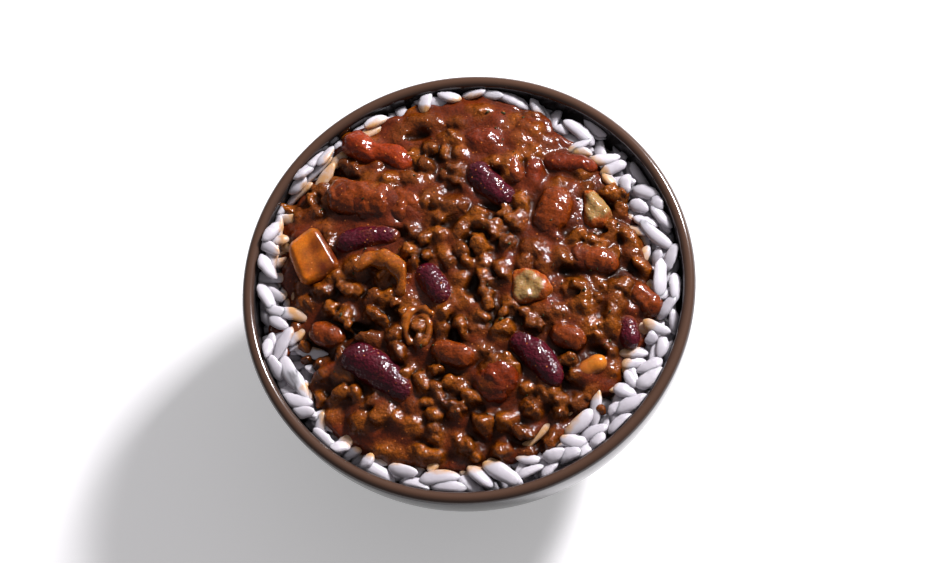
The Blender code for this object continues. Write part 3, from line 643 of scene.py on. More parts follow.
def sauce_colour(tree, top_colour, pulpy=0.4):
    """top_colour where the surface stands proud, flecked with spice and grainy with pulp, and darkened to
    near black in the cracks as painted shade."""
    place = add(tree, "NewGeometry").outputs["Position"]
    is_open = add(tree, "Attribute", attribute_name="open").outputs["Fac"]
    # Painted shade: the less open sky a point of the surface has, the nearer its colour goes to the
    # near-black shade colour.
    sunk = add(tree, "MapRange", {"Value": is_open, "From Min": 0.15, "From Max": 0.85},
               interpolation_type="SMOOTHSTEP")
    specks = add(tree, "TexVoronoi", {"Vector": place, "Scale": 1 / (1.7 * MM)})
    speck = add(tree, "MapRange", {"Value": specks.outputs["Distance"], "From Min": 0.08, "From Max": 0.13,
                                   "To Min": 0.7, "To Max": 0.0})
    spiced = add(tree, "Mix", {"Factor": speck.outputs["Result"], "A": top_colour, "B": srgb("#b8682a")},
                 data_type="RGBA")
    pulp = add(tree, "TexNoise", {"Vector": place, "Scale": 1 / (0.55 * MM), "Detail": 2.0, "Roughness": 0.7})
    uneven = add(tree, "MapRange", {"Value": pulp.outputs["Fac"], "From Min": 0.3, "From Max": 0.7,
                                    "To Min": 1 - pulpy, "To Max": 1 + pulpy})
    grainy = add(tree, "Mix", {"Factor": 1.0, "A": spiced.outputs["Result"], "B": uneven.outputs["Result"]},
                 data_type="RGBA", blend_type="MULTIPLY")
    colour = add(tree, "Mix", {"Factor": sunk.outputs["Result"], "A": srgb(SAUCE_PAINTED_SHADE),
                               "B": grainy.outputs["Result"]}, data_type="RGBA")
    return colour.outputs["Result"]


def wet_shader(tree, colour, bump, roughness=0.42, coat=1.0, coat_roughness=0.06, scatter=0.08):
    """A wet, glossy surface. Its gloss fades in the cracks, which see only other sauce."""
    is_open = add(tree, "Attribute", attribute_name="open").outputs["Fac"]
    gloss = add(tree, "MapRange", {"Value": is_open, "From Min": 0.3, "From Max": 0.8, "To Min": 0.1 * coat,
                                   "To Max": coat})
    shader = add(tree, "BsdfPrincipled", {
        "Base Color": colour, "Roughness": roughness, "IOR": 1.4, "Specular IOR Level": 0.1, "Normal": bump,
        "Coat Weight": gloss.outputs["Result"], "Coat Roughness": coat_roughness, "Coat IOR": 1.4,
        "Coat Normal": bump, "Subsurface Weight": scatter, "Subsurface Scale": 0.6 * MM,
        "Subsurface Radius": (1.0, 0.35, 0.15),
    })
    add(tree, "OutputMaterial", {"Surface": shader.outputs["BSDF"]})


meat_sauce, tree = new_material("meat_sauce")
place = add(tree, "NewGeometry").outputs["Position"]
is_meat = add(tree, "Attribute", attribute_name="meat").outputs["Fac"]
own_tint = add(tree, "Attribute", attribute_name="tint").outputs["Fac"]
mottle = add(tree, "TexNoise", {"Vector": place, "Scale": 1 / (3.5 * MM), "Detail": 4.0, "Roughness": 0.6})
fibre = add(tree, "TexNoise", {"Vector": place, "Scale": 1 / (0.8 * MM), "Detail": 2.0, "Roughness": 0.6})
thick_sauce = add(tree, "Mix", {"Factor": mottle.outputs["Fac"], "A": srgb(SAUCE_DARK),
                                "B": srgb(SAUCE_LIGHT)}, data_type="RGBA")
browned = add(tree, "Mix", {"Factor": own_tint, "A": srgb("#502202"), "B": srgb("#944e04")}, data_type="RGBA")
fibrous = add(tree, "Mix", {"Factor": fibre.outputs["Fac"], "A": browned.outputs["Result"],
                            "B": srgb("#622e02")}, data_type="RGBA")
coated = add(tree, "Mix", {"Factor": is_meat, "A": thick_sauce.outputs["Result"],
                           "B": fibrous.outputs["Result"]}, data_type="RGBA")
grain_strength = add(tree, "MapRange", {"Value": is_meat, "To Min": 0.35, "To Max": 0.7})
bump = add(tree, "Bump", {"Height": fibre.outputs["Fac"], "Strength": grain_strength.outputs["Result"],
                          "Distance": 0.45 * MM})
wet_shader(tree, sauce_colour(tree, coated.outputs["Result"]), bump.outputs["Normal"])

chili = mesh_object("chili_mince_and_sauce", points, quads.tolist() + fan, meat_sauce)
store(chili, meat=sample(meat, points), tint=sample(tint, points), open=openness(points))
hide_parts("chili")

# ------------------------------------------------------------------ kidney beans
# Red kidney beans, boiled whole. Sauce creeps up their sides and lies over their tops in thin brown films.
# Each is its CAD solid's own size, bent and tapered.
BEAN_PITCH = 0.3  # of the finer grid that a single piece is worked out on


def skin_over(node, shape_of):
    """(points, faces) of a shape given as a function of distance, over a node's box with room to spare."""
    low, high = (np.array(corner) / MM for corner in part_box(node))
    spots, corner = grid_over(low - 1.5, high + 1.5, BEAN_PITCH)
    return skin_of(shape_of(spots), corner, BEAN_PITCH)


def sauced(name, dark, light, filmed, mottle, relief, bump, torn=None, film=(0.0, 1.0), pulpy=0.4, **wet):
    """Food under films of sauce. dark and light mix by mottle, a noise given as its size in millimetres,
    detail and roughness. relief is a noise too, and bump is its strength and its depth in millimetres. The
    colour turns to filmed as the film stored on the mesh, frayed by the noise that torn names, goes through
    the film range."""
    made, tree = new_material(name)
    place = add(tree, "NewGeometry").outputs["Position"]
    noises = {}
    for key, (size, detail, roughness) in (("mottle", mottle), ("relief", relief)):
        noise = add(tree, "TexNoise", {"Vector": place, "Scale": 1 / (size * MM), "Detail": detail,
                                       "Roughness": roughness})
        noises[key] = noise.outputs["Fac"]
    own = add(tree, "Mix", {"Factor": noises["mottle"], "A": srgb(dark), "B": srgb(light)}, data_type="RGBA")
    thickness = add(tree, "Attribute", attribute_name="film").outputs["Fac"]
    if torn:
        thickness = add(tree, "Math", {0: thickness, 1: noises[torn]}, operation="ADD").outputs["Value"]
    covered = add(tree, "MapRange", {"Value": thickness, "From Min": film[0], "From Max": film[1]})
    coated = add(tree, "Mix", {"Factor": covered.outputs["Result"], "A": own.outputs["Result"],
                               "B": srgb(filmed)}, data_type="RGBA")
    strength, depth = bump
    normal = add(tree, "Bump", {"Height": noises["relief"], "Strength": strength, "Distance": depth * MM})
    wet_shader(tree, sauce_colour(tree, coated.outputs["Result"], pulpy), normal.outputs["Normal"], **wet)
    return made


# Boiled bean skin: deep purple-red, tight and finely wrinkled, so that it breaks the light into small
# glints.
kidney_skin = sauced("kidney_bean_skin", "#28020c", "#500518", "#5e2814", mottle=(5, 2, 0.5),
                     relief=(0.75, 1, 0.4), bump=(1.0, 0.35), torn="relief", film=(0.75, 1.2),
                     roughness=0.5, coat_roughness=0.05, scatter=0.02)

for node, (bend, taper, topped) in KIDNEY_BEANS.items():
    points, quads = skin_over(
        node, lambda spots: bean(spots, node, 0.93, bend, taper) + 0.1 * ripple(spots, 3.0, 11)
    )
    made = mesh_object(node + "_skin", points, quads.tolist(), kidney_skin)
    film = 1 - smooth_step(above_sauce(points), 0.0, 1.6)
    film += topped * 2.2 * smooth_step(ripple(points, 9.0, len(quads)), 0.2, 0.7)
    store(made, film=film, open=np.maximum(openness(points), 0.1))
    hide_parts(node)

# ------------------------------------------------------------------ beans and chunks under sauce
# More beans and pieces of stewed tomato, wholly coated. Only their form and a warmer, redder tone show
# through the sauce, which lies thinnest over their crests.

# Bean skin under sauce: red-brown and mottled, with broken highlights. It is lighter on its crest, where the
# film thins and the painted shade of the cracks stops.
sauced_bean_skin = sauced("sauce_coated_bean", "#541c02", "#8a3a04", "#401808", mottle=(2.6, 4, 0.65),
                          relief=(1.2, 2, 0.5), bump=(0.7, 0.45))
# Peeled tomato, stewed soft: warm red showing through the sauce, wet all over.
stewed_tomato = sauced("stewed_tomato", "#5a1602", "#943404", "#521a04", mottle=(3.0, 4, 0.65),
                       relief=(1.2, 2, 0.5), bump=(0.7, 0.45))


def coated_piece(node, material, shape_of, reach=1.8, topped=0.0):
    """A piece that the sauce films over up to reach above its level. On top of it lies as much film as topped
    says, as a number or as a function of place."""
    points, quads = skin_over(node, shape_of)
    made = mesh_object(node + "_looks", points, quads.tolist(), material)
    on_top = topped(points) if callable(topped) else topped * (1 + 0.35 * ripple(points, 5.0, len(quads)))
    film = np.maximum(1 - smooth_step(above_sauce(points), 0.2, reach), on_top)
    store(made, film=film, open=np.maximum(openness(points), 0.1))
    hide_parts(node)


LARGEST_CHUNK_ROUGH, CHUNK_ROUGH, BEAN_ROUGH = 0.6, 0.35, 0.18  # how far each swells out of its plain shape
for number, node in enumerate(COATED_BEANS + TOMATO_CHUNKS):
    is_tomato = node in TOMATO_CHUNKS
    swell = LARGEST_CHUNK_ROUGH if node == "tomato_chunk_1" else CHUNK_ROUGH if is_tomato else BEAN_ROUGH
    coated_piece(
        node, stewed_tomato if is_tomato else sauced_bean_skin,
        lambda spots: bean(spots, node) + swell * ripple(spots, 5.0, 60 + number)
        + 0.12 * ripple(spots, 2.0, 80 + number),
        reach=2.4, topped=0.7 if is_tomato else 0.2,
    )

# ------------------------------------------------------------------ pale bean
# One white bean, or a kernel, half sunk by the edge, with sauce round its foot.

# White bean skin: golden from the sauce, smooth and a little see-through, so that its highlight is one soft
# spot.
pale_skin = sauced("pale_bean_skin", "#b45c10", "#d08420", "#8c4a20", mottle=(2.2, 3, 0.5),
                   relief=(2.2, 3, 0.5), bump=(0.15, 0.3), pulpy=0.15,
                   roughness=0.35, coat=0.9, coat_roughness=0.14, scatter=0.25)
coated_piece("pale_bean", pale_skin,
             lambda spots: bean(spots + (0, 0, 0.4), "pale_bean", 0.95), reach=2.6, topped=0.35)

# ------------------------------------------------------------------ carrot
# A dice of carrot with knife-cut faces and softened corners. Sauce films it over and pools brown on its
# top, and the bare corner nearest the bowl's wall stays bright orange.

# Boiled carrot: orange, even and waxy, darker where the film of sauce is thick.
carrot_flesh = sauced("carrot_flesh", "#a84a06", "#d07a14", "#541e04", mottle=(3.4, 3, 0.5),
                      relief=(0.7, 2, 0.5), bump=(0.2, 0.3), torn="mottle", film=(0.35, 1.4), pulpy=0.2,
                      roughness=0.4, coat=0.9, coat_roughness=0.16, scatter=0.25)
BARE_X, FILMED_X = -37.5, -31.5  # the film on its top thickens from one to the other
coated_piece(
    "carrot_dice", carrot_flesh,
    lambda spots: block(spots, "carrot_dice", 0.3) - 0.7 + 0.2 * ripple(spots, 5.0, 21),
    reach=2.8,
    topped=lambda points: 0.75 * smooth_step(points[:, 0] + 0.5 * ripple(points, 3.0, 22), BARE_X, FILMED_X)
    + 0.25 * ripple(points, 4.0, 23),
)

# ------------------------------------------------------------------ celery
# Two slices of celery, cooked soft. Their cut faces lie nearly level with the sauce, which has stained
# their edges orange.
CELERY_SUNK = 1.1  # how far each lies below its CAD solid
CELERY_SWELL = 0.6  # and how far it swells out of it

# Cooked celery: glassy, pale olive, with a wet, pitted grain that glitters.
celery_flesh = sauced("celery_flesh", "#7c5e34", "#9c7a4a", "#8e4412", mottle=(2.4, 3, 0.5),
                      relief=(0.8, 2, 0.5), bump=(0.7, 0.4), film=(0.2, 0.8), pulpy=0.1,
                      roughness=0.3, coat_roughness=0.05, scatter=0.8)
for node in ("celery_dice_1", "celery_dice_2"):
    centre, _, half = lie(node)
    coated_piece(
        node, celery_flesh,
        lambda spots: block(spots + (0, 0, CELERY_SUNK), node, 0.8) - CELERY_SWELL
        + 0.25 * ripple(spots, 3.0, 31),
        reach=2.0,
        topped=lambda points: smooth_step(np.hypot(*(points - centre)[:, :2].T) / half[0]
                                          - 0.12 * ripple(points, 3.0, 32), 0.55, 0.9),
    )

# ------------------------------------------------------------------ tomato fold
# A strip of peeled tomato that has folded over on itself in the pan: soft, swollen and bright red-orange,
# with sauce lying in its crease. The path runs along the strip, from its middle.
FOLD_PATH = [(-4.9, 1.7, 0), (-3.6, 0.8, 0.4), (-1.2, -0.9, 0.3), (1.6, -0.9, 0.3), (4.2, -1.6, 0.2),
             (6.0, -3.2, 0), (6.9, -6.0, -0.8)]
FOLD_RADII = [3.2, 2.9, 2.3, 2.2, 2.5, 2.5, 2.0]
low, high = (np.array(corner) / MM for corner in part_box("tomato_fold"))
fold_centre = 0.5 * (low + high) - (0.4, -1.6, -0.2)
coated_piece("tomato_fold", stewed_tomato,
             lambda spots: strand(spots, [fold_centre + p for p in FOLD_PATH], FOLD_RADII, 1.2)
             + 0.15 * ripple(spots, 3.0, 51), reach=0.9)

# ------------------------------------------------------------------ onion
# A curved slice of onion that stands on edge, and a small ring of it, which winds inwards like a coil until
# its inner end sinks into the sauce.

# Stewed onion: glassy, so that it takes the sauce's brown and shows paler along its thin edges.
onion_flesh = sauced("stewed_onion", "#642c06", "#9c540c", "#4a1e0c", mottle=(2.0, 3, 0.5),
                     relief=(2.0, 3, 0.5), bump=(0.2, 0.3), roughness=0.35, coat_roughness=0.12, scatter=0.35)

# Each piece: its node, how its middle lies from its CAD solid's, its radii, the angles where it starts and
# how far it sweeps, how much of its radius is left at its end, how deep it is sunk at its start and its
# end, and its thickness from end to end.
ONIONS = [
    ("onion_slice", (0.9, -2.0, 0.9), (5.6, 5.2), 140, -165, 1.0, (0.0, 0.0), (1.2, 1.7, 2.0, 1.9, 1.6, 1.0)),
    ("onion_ring", (0.0, 0.0, 0.0), (3.6, 4.8), 40, 500, 0.45, (0.7, 1.3), (0.7, 1.0, 0.8, 0.9, 0.7, 0.6)),
]
for node, shift, (radius_x, radius_y), start, sweep, left, (sunk_first, sunk_last), thick in ONIONS:
    low, high = (np.array(corner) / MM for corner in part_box(node))
    share = np.linspace(0, 1, 19)
    angles, wound = np.radians(start + sweep * share), 1 - (1 - left) * share
    path = 0.5 * (low + high) + shift + np.stack([
        radius_x * np.cos(angles) * wound,
        radius_y * np.sin(angles) * wound,
        0.3 * np.sin(3 * angles) - sunk_first - (sunk_last - sunk_first) * share,
    ], axis=-1)
    radii = np.interp(share, np.linspace(0, 1, 6), thick)
    coated_piece(node, onion_flesh,
                 lambda spots: strand(spots, path, radii, 0.3) + 0.3 * ripple(spots, 3.4, 71), reach=1.4)

# ------------------------------------------------------------------ rice
# Long-grain white rice, boiled and left loose. The grains lie as they fell, some split or bent, over a core
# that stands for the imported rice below. Where they meet the chili they have soaked up its colour.
RICE_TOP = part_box("rice")[1].z / MM
CORE_Z = RICE_TOP - 3.2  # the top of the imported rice, on which the loose grains fall
PILE_CELL = 0.5  # the pile's height is kept on a square grid of this pitch
WALL_GAP = 0.2  # how far a grain keeps off the bowl's wall
GRAIN_RINGS, GRAIN_SIDES = 13, 12

grains_points, grains_faces, grains_stain, grains_shade = [], [], [], []
cells = np.arange(-48, 48 + PILE_CELL, PILE_CELL)
cell_x, cell_y = np.meshgrid(cells, cells, indexing="ij")
pile = np.full_like(cell_x, CORE_Z)


def heaped(angle, radius):
    """How high the rice is heaped: most at the back left, where it also climbs the wall, then at the front
    right."""
    at_left, at_front = (max(0.0, math.cos(angle - math.radians(way))) for way in (160, -40))
    return RICE_TOP + 0.9 + 0.8 * at_left + 0.6 * at_front + 2.2 * at_left * smooth_step(radius, 42.5, 45.5)


def boxy(wave):
    """A wave with its crests a little squared, for a grain's cross-section."""
    return np.sign(wave) * np.abs(wave) ** 0.88


def lay_grain(x, y, yaw, length, width, spread, most_tip=22):
    """Drops one grain on the pile, where it comes to rest on what lies under each of its halves."""
    thick = 0.5 * width
    heading = math.radians(yaw)
    u = (cell_x - x) * math.cos(heading) + (cell_y - y) * math.sin(heading)
    v = (cell_y - y) * math.cos(heading) - (cell_x - x) * math.sin(heading)
    under = (np.abs(u) < 0.46 * length) & (np.abs(v) < 0.36 * width)
    if not under.any():
        return
    ceiling = heaped(math.atan2(y, x), math.hypot(x, y)) + 0.6
    left = min(ceiling, pile[under & (u <= 0)].max(initial=CORE_Z))
    right = min(ceiling, pile[under & (u > 0)].max(initial=CORE_Z))
    tip = math.degrees(math.atan2(right - left, 0.55 * length))
    tip = max(-most_tip, min(most_tip, tip))
    turn = turning(yaw, tip, spread.uniform(-25, 25))
    centre_z = 0.5 * (left + right) + 0.42 * thick
    reach = u / (0.5 * length)
    dome = np.sqrt(np.clip(1 - (v / (0.5 * width)) ** 2 - reach**2, 0, 1))
    top = centre_z + math.tan(math.radians(tip)) * u + 0.42 * thick * dome
    pile[under] = np.maximum(pile, top)[under]

    bend = spread.uniform(-0.5, 0.5)
    taper = spread.uniform(-0.2, 0.2)
    share = -np.cos(np.linspace(0.1, math.pi - 0.1, GRAIN_RINGS))
    body = (1 - np.abs(share) ** 2.8) ** 0.6 * (1 + taper * share) * spread.normal(1, 0.05, GRAIN_RINGS)
    around = np.linspace(0, 2 * math.pi, GRAIN_SIDES, endpoint=False) + spread.uniform(0, 0.5)
    share, body = share[:, None], body[:, None]
    local = np.stack([
        0.5 * length * share + 0 * around,
        0.5 * width * body * boxy(np.cos(around)) + bend * (share**2 - 0.3),
        0.5 * thick * body * boxy(np.sin(around)) * (1 - 0.2 * np.cos(around)) - 0.2 * share**2,
    ], axis=-1)
    made = local.reshape(-1, 3) @ turn.T + (x, y, centre_z)
    ring = np.arange(GRAIN_RINGS - 1)[:, None] * GRAIN_SIDES
    following = ring + GRAIN_SIDES
    i = np.arange(GRAIN_SIDES)
    j = (i + 1) % GRAIN_SIDES
    quads = np.stack([ring + i, ring + j, following + j, following + i], axis=-1).reshape(-1, 4)
    i = i[: GRAIN_SIDES // 2 - 1]
    tip_faces = np.stack([i, i + 1, GRAIN_SIDES - 2 - i, GRAIN_SIDES - 1 - i], axis=-1)
    quads = np.concatenate([quads, tip_faces[:, ::-1], tip_faces + (GRAIN_RINGS - 1) * GRAIN_SIDES])
    radius = np.hypot(made[:, 0], made[:, 1])
    beyond = radius - chili_edge(np.arctan2(made[:, 1], made[:, 0]))
    fits = round_bottom(made[:, 2], FLOOR_Z, inner_r) - WALL_GAP
    made[:, :2] *= np.minimum(1, fits / np.maximum(radius, 1e-6))[:, None]
    start = sum(len(p) for p in grains_points)
    grains_points.append(made)
    grains_faces.append(quads + start)
    grains_stain.append(1 - smooth_step(beyond, -0.8, spread.uniform(0.4, 2.2)))
    grains_shade.append(np.full(len(made), spread.uniform(0, 1)))


# Loose grains that show on top: x, y, heading, length, width.
GRAINS = [
    # back right
    (9.5, 44.4, -27, 9, 3.2), (4.6, 45.6, -20, 6, 2.6), (15, 42.3, -60, 6, 2.6), (19, 40, 75, 6, 2.5),
    (20.5, 36.8, -20, 3.6, 2.4), (24.5, 36, -40, 9, 3.1), (28, 37.3, -45, 6.8, 3.3),
    (24.2, 32.6, 25, 6.5, 2.2), (25, 31, -8, 5, 2), (30.2, 29, 6, 7, 2.8), (32, 26.8, 25, 6.5, 2.8),
    (31.2, 24, -50, 5, 2.5), (34.7, 23, 88, 4.6, 2.8), (38, 25.5, -55, 8, 3), (39.2, 21, -25, 7, 3.1),
    (37.5, 17.8, -30, 5, 3), (41.4, 18, -80, 4.6, 3), (42.5, 15, -50, 7, 2.9), (39, 14, -20, 6, 2.8),
    (41.3, 10.5, -42, 10, 2.8), (41.4, 6, 80, 4.8, 2.4), (44.4, 5.5, 70, 6.5, 2.6), (42, 0.5, 87, 9.3, 3.2),
    (45.2, -1.5, 90, 7, 2.8),
    # front right
    (43.2, -6, 50, 6.5, 2.9), (45, -9, -80, 6, 2.8), (41, -10.8, -25, 6.6, 2.6), (40, -13, 60, 3.4, 2.6),
    (42.2, -15, 80, 5.4, 2.5), (43.8, -16, 85, 5.4, 2.5), (35.2, -15.7, -5, 8.2, 3),
    (36.4, -18.6, 14, 5.5, 2.2), (39.5, -19.3, 25, 6.2, 3), (39.7, -22.2, 35, 7.2, 3.5),
    (35.3, -22.3, -60, 4.4, 2.2), (34.3, -25, -25, 5.4, 3.2), (35.9, -27.7, 22, 8.5, 3.2),
    (32, -28.6, 40, 4, 2.2), (33, -32, 40, 6.4, 3), (24.5, -31.8, 42, 8, 3.1), (27.5, -33.7, 22, 6.6, 3.2),
    (23.3, -35.9, -10, 6, 3.2), (22.5, -38.5, 15, 5.4, 3.6), (26, -37.6, 35, 5, 3.2),
    (28.5, -35.9, 65, 4.4, 3), (18.1, -41.8, 50, 5, 2.4), (14, -42, 22, 6.4, 2.2),
    (13.5, -39.4, -8, 5.8, 2), (19.2, -38.8, 20, 5, 2.8), (8.5, -42.8, -30, 10, 3.6),
    (3.6, -43.3, -40, 7, 3.2), (1.5, -45, -35, 6, 3), (7, -40.8, -30, 4.6, 2.2),
    # front left
    (-5, -43.5, 5, 9, 3.4), (-3, -45.6, -5, 8, 3), (-10, -44.7, -20, 6.5, 3), (-18.3, -41.9, -30, 8.6, 3),
    (-13, -41.8, -15, 7, 2.8), (-20.6, -39.7, 50, 4, 2.6), (-30.2, -34.9, -48, 7.5, 3),
    (-26.8, -36.6, 15, 5, 2.8), (-36.5, -26.2, -15, 7.5, 3), (-35.2, -29, 5, 6, 2.8),
    (-38.3, -19.8, -62, 9.2, 3.2), (-36.2, -22.4, -58, 9, 3), (-40.2, -13.2, 65, 8.8, 2.7),
    (-41.6, -18.4, -60, 6.5, 2.9), (-43.6, -14.6, 75, 5.6, 2.8), (-41.4, -8.2, -35, 5.4, 2.6),
    (-44.3, -2.2, -60, 7.2, 3), (-42.2, -5.4, -20, 5, 2.6),
    # back left
    (-44.3, 4.5, -55, 7.2, 3), (-44.2, 9, -30, 6, 2.8), (-43.6, 12.6, 50, 6.4, 3), (-42, 11, 10, 4.4, 2.4),
    (-42.3, 19, 45, 3.6, 2.6), (-38.6, 24.2, 40, 5.6, 2.8), (-37.4, 27.3, 40, 6.2, 3.4),
    (-34.8, 30.4, 50, 6.2, 3), (-32.3, 31, 60, 6.4, 2.3), (-29, 36, 50, 6, 2.9),
    (-24.2, 39.4, 35, 6.5, 2.8), (-21.4, 39.2, 30, 6, 2.6), (-10.3, 43.8, 75, 5.4, 3),
    (-5, 45.3, -20, 6, 2.9), (0.6, 46, 10, 6, 2.8),
]


# Each grain falls on the lowest of a few places round the chili, until the heap is as high as it should be.
# The loose grains that show fall last and lie flatter.
FALLING_GRAINS = 850
PLACES_TRIED = 9
spread = np.random.default_rng(12)
for _ in range(FALLING_GRAINS):
    best = None
    for _ in range(PLACES_TRIED):
        angle = spread.uniform(-math.pi, math.pi)
        radius = spread.uniform(chili_edge(angle) - 3.5, 45.2)
        x, y = radius * math.cos(angle), radius * math.sin(angle)
        near = pile[np.hypot(cell_x - x, cell_y - y) < 2.2]
        top = near.max(initial=CORE_Z)
        score = top + 0.4 * near.mean()
        if best is None or score < best[0]:
            best = (score, x, y, top)
    _, x, y, top = best
    if top < heaped(math.atan2(y, x), math.hypot(x, y)) - 1.0:
        lay_grain(x, y, spread.uniform(0, 180), spread.uniform(7.6, 9.8), spread.uniform(2.3, 2.9), spread)
for x, y, yaw, length, width in GRAINS:
    lay_grain(x, y, yaw, length, width, spread, most_tip=14)

# Boiled rice: starchy and faintly see-through, whitest in its heart. It is smooth and moist rather than
# wet.
boiled_rice, tree = new_material("boiled_rice")
place = add(tree, "NewGeometry").outputs["Position"]
stain = add(tree, "Attribute", attribute_name="stain").outputs["Fac"]
own = add(tree, "Attribute", attribute_name="shade").outputs["Fac"]
cloud = add(tree, "TexNoise", {"Vector": place, "Scale": 1 / (1.6 * MM), "Detail": 2.0})
white = add(tree, "Mix", {"Factor": own, "A": srgb("#aca8af"), "B": srgb("#c6c2c7")}, data_type="RGBA")
clouded = add(tree, "Mix", {"Factor": cloud.outputs["Fac"], "A": white.outputs["Result"],
                            "B": srgb("#b9b5bb")}, data_type="RGBA")
ragged = add(tree, "Math", {0: stain, 1: cloud.outputs["Fac"]}, operation="ADD")
soaked = add(tree, "MapRange", {"Value": ragged.outputs["Value"], "From Min": 0.85, "From Max": 1.6})
yellowed = add(tree, "Mix", {"Factor": soaked.outputs["Result"], "A": clouded.outputs["Result"],
                             "B": srgb("#b48a5c")}, data_type="RGBA")
bump = add(tree, "Bump", {"Height": cloud.outputs["Fac"], "Strength": 0.15, "Distance": 0.3 * MM})
shader = add(tree, "BsdfPrincipled", {
    "Base Color": yellowed.outputs["Result"], "Roughness": 0.38, "IOR": 1.4, "Normal": bump.outputs["Normal"],
    "Subsurface Weight": 0.75, "Subsurface Scale": 1.6 * MM, "Subsurface Radius": (1.0, 0.95, 0.9),
    "Coat Weight": 0.1, "Coat Roughness": 0.3,
})
add(tree, "OutputMaterial", {"Surface": shader.outputs["BSDF"]})

points, faces = np.concatenate(grains_points), np.concatenate(grains_faces).tolist()
grains = mesh_object("rice_grains", points, faces, boiled_rice)
store(grains, stain=np.concatenate(grains_stain), shade=np.concatenate(grains_shade))
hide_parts("rice")

# The core under the loose grains is packed rice. Its colour darkens to grey-brown between its lumps as
# painted shade, so that the gaps between the grains look dark.
packed_rice_painted_shade, tree = new_material("packed_rice_painted_shade")
place = add(tree, "NewGeometry").outputs["Position"]
lumps = add(tree, "TexVoronoi", {"Vector": place, "Scale": 1 / (3.4 * MM)})
# Painted shade: grey-brown where the cells meet, between the core's lumps.
tone = add(tree, "Mix", {"Factor": lumps.outputs["Distance"], "A": srgb("#c4bcbc"), "B": srgb("#8c8280")},
           data_type="RGBA")
bump = add(tree, "Bump", {"Height": lumps.outputs["Distance"], "Strength": 0.6, "Distance": 0.8 * MM},
           invert=True)
shader = add(tree, "BsdfPrincipled", {"Base Color": tone.outputs["Result"], "Roughness": 0.6,
                                      "Normal": bump.outputs["Normal"]})
add(tree, "OutputMaterial", {"Surface": shader.outputs["BSDF"]})
heights = np.linspace(FLOOR_Z + 1.2, CORE_Z - 0.6, 14)
wall = [(round_bottom(z, FLOOR_Z, inner_r) - 0.5, z) for z in heights]
top = [(wall[-1][0] - 0.8, CORE_Z), (36.0, CORE_Z + 0.2), (30.0, chili_low.z - 0.6)]
points, faces = turned((wall + top)[::-1], 120)
core = mesh_object("rice_core", points, faces, packed_rice_painted_shade)
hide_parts("rice")

# ------------------------------------------------------------------ herbs
# Chopped leaves, thyme or oregano, stewed dark. They lie flat on the sauce as thin curled flakes.
# The flakes that stand out: x, y and length. Smaller ones are strewn between them.
HERBS = [
    (-24, 32.5, 1.5), (-16.5, 31.2, 1.1), (4, 40.5, 1.0), (7.5, 40.5, 1.2), (-39, 22.5, 0.8),
    (-32.5, 17.7, 0.9), (8, -10, 1.2), (25.8, -3.5, 1.1), (-27, -8, 1.3), (21, -1.4, 0.8), (3, -7.5, 0.8),
    (-20.5, -2.2, 0.7), (18.6, 12.6, 0.7), (-13, 20, 0.6), (9.6, 7.2, 0.9), (-9.2, -15.6, 0.9),
    (16, -2.2, 1.2), (-24.6, 1.6, 0.7), (12, 39.3, 0.8), (-36, 19, 0.7), (-6, 26.5, 0.6), (28, 10.8, 0.7),
    (13.4, -26.2, 0.7), (-2.6, -3.4, 0.6),
]
FLAKE_THICK = 0.16
FLAKE_SIDES = 6
STREWN_FLAKES = 70

# Stewed leaf: dull olive green, nearly black in places, dark against the orange of the sauce.
herb_leaf, tree = new_material("stewed_herb_leaf")
place = add(tree, "NewGeometry").outputs["Position"]
mottle = add(tree, "TexNoise", {"Vector": place, "Scale": 1 / (0.6 * MM), "Detail": 2.0})
green = add(tree, "Mix", {"Factor": mottle.outputs["Fac"], "A": srgb("#1c1c0c"), "B": srgb("#44431f")},
            data_type="RGBA")
bump = add(tree, "Bump", {"Height": mottle.outputs["Fac"], "Strength": 0.4, "Distance": 0.2 * MM})
wet_shader(tree, green.outputs["Result"], bump.outputs["Normal"], roughness=0.45, coat=0.7,
           coat_roughness=0.2, scatter=0.0)


def surface_z(x, y):
    """Height of the chili's skin at a point, down a column of the grid."""
    i, j = (round((v - corner) / PITCH) for v, corner in zip((x, y), grid_corner))
    return grid_corner[2] + PITCH * (np.nonzero(field[i, j] < 0)[0].max(initial=0) + 0.6)


spread = np.random.default_rng(8)
for _ in range(STREWN_FLAKES):
    angle, radius = spread.uniform(-math.pi, math.pi), 38 * math.sqrt(spread.uniform())
    HERBS.append((radius * math.cos(angle), radius * math.sin(angle), spread.uniform(0.35, 0.75)))
points, faces = [], []
for x, y, size in HERBS:
    turn = turning(spread.uniform(0, 180))
    here, right, left, behind, before = (
        surface_z(x + dx, y + dy) for dx, dy in ((0, 0), (0.5, 0), (-0.5, 0), (0, 0.5), (0, -0.5))
    )
    start = len(points)
    for layer in (FLAKE_THICK, 0.0):
        for k in range(FLAKE_SIDES):
            a = k * 2 * math.pi / FLAKE_SIDES + spread.uniform(-0.2, 0.2)
            spot = turn @ (0.5 * size * math.cos(a), 0.3 * size * math.sin(a), 0)
            z = here + (right - left) * spot[0] + (behind - before) * spot[1] + layer + 0.08 * math.cos(2 * a)
            points.append((x + spot[0], y + spot[1], z))
    top = [start + k for k in range(FLAKE_SIDES)]
    bottom = [start + FLAKE_SIDES + k for k in range(FLAKE_SIDES)]
    faces += [top, bottom[::-1]]
    faces += [[top[k - 1], bottom[k - 1], bottom[k], top[k]] for k in range(FLAKE_SIDES)]
herbs = mesh_object("herb_flakes", points, faces, herb_leaf)
store(herbs, open=np.ones(len(points)))

# ------------------------------------------------------------------ floor, light and camera
# A pale table under the bowl, one soft window behind it on the right, and the room's dimmer glow. The
# camera looks steeply down from the front, a little turned and tilted.

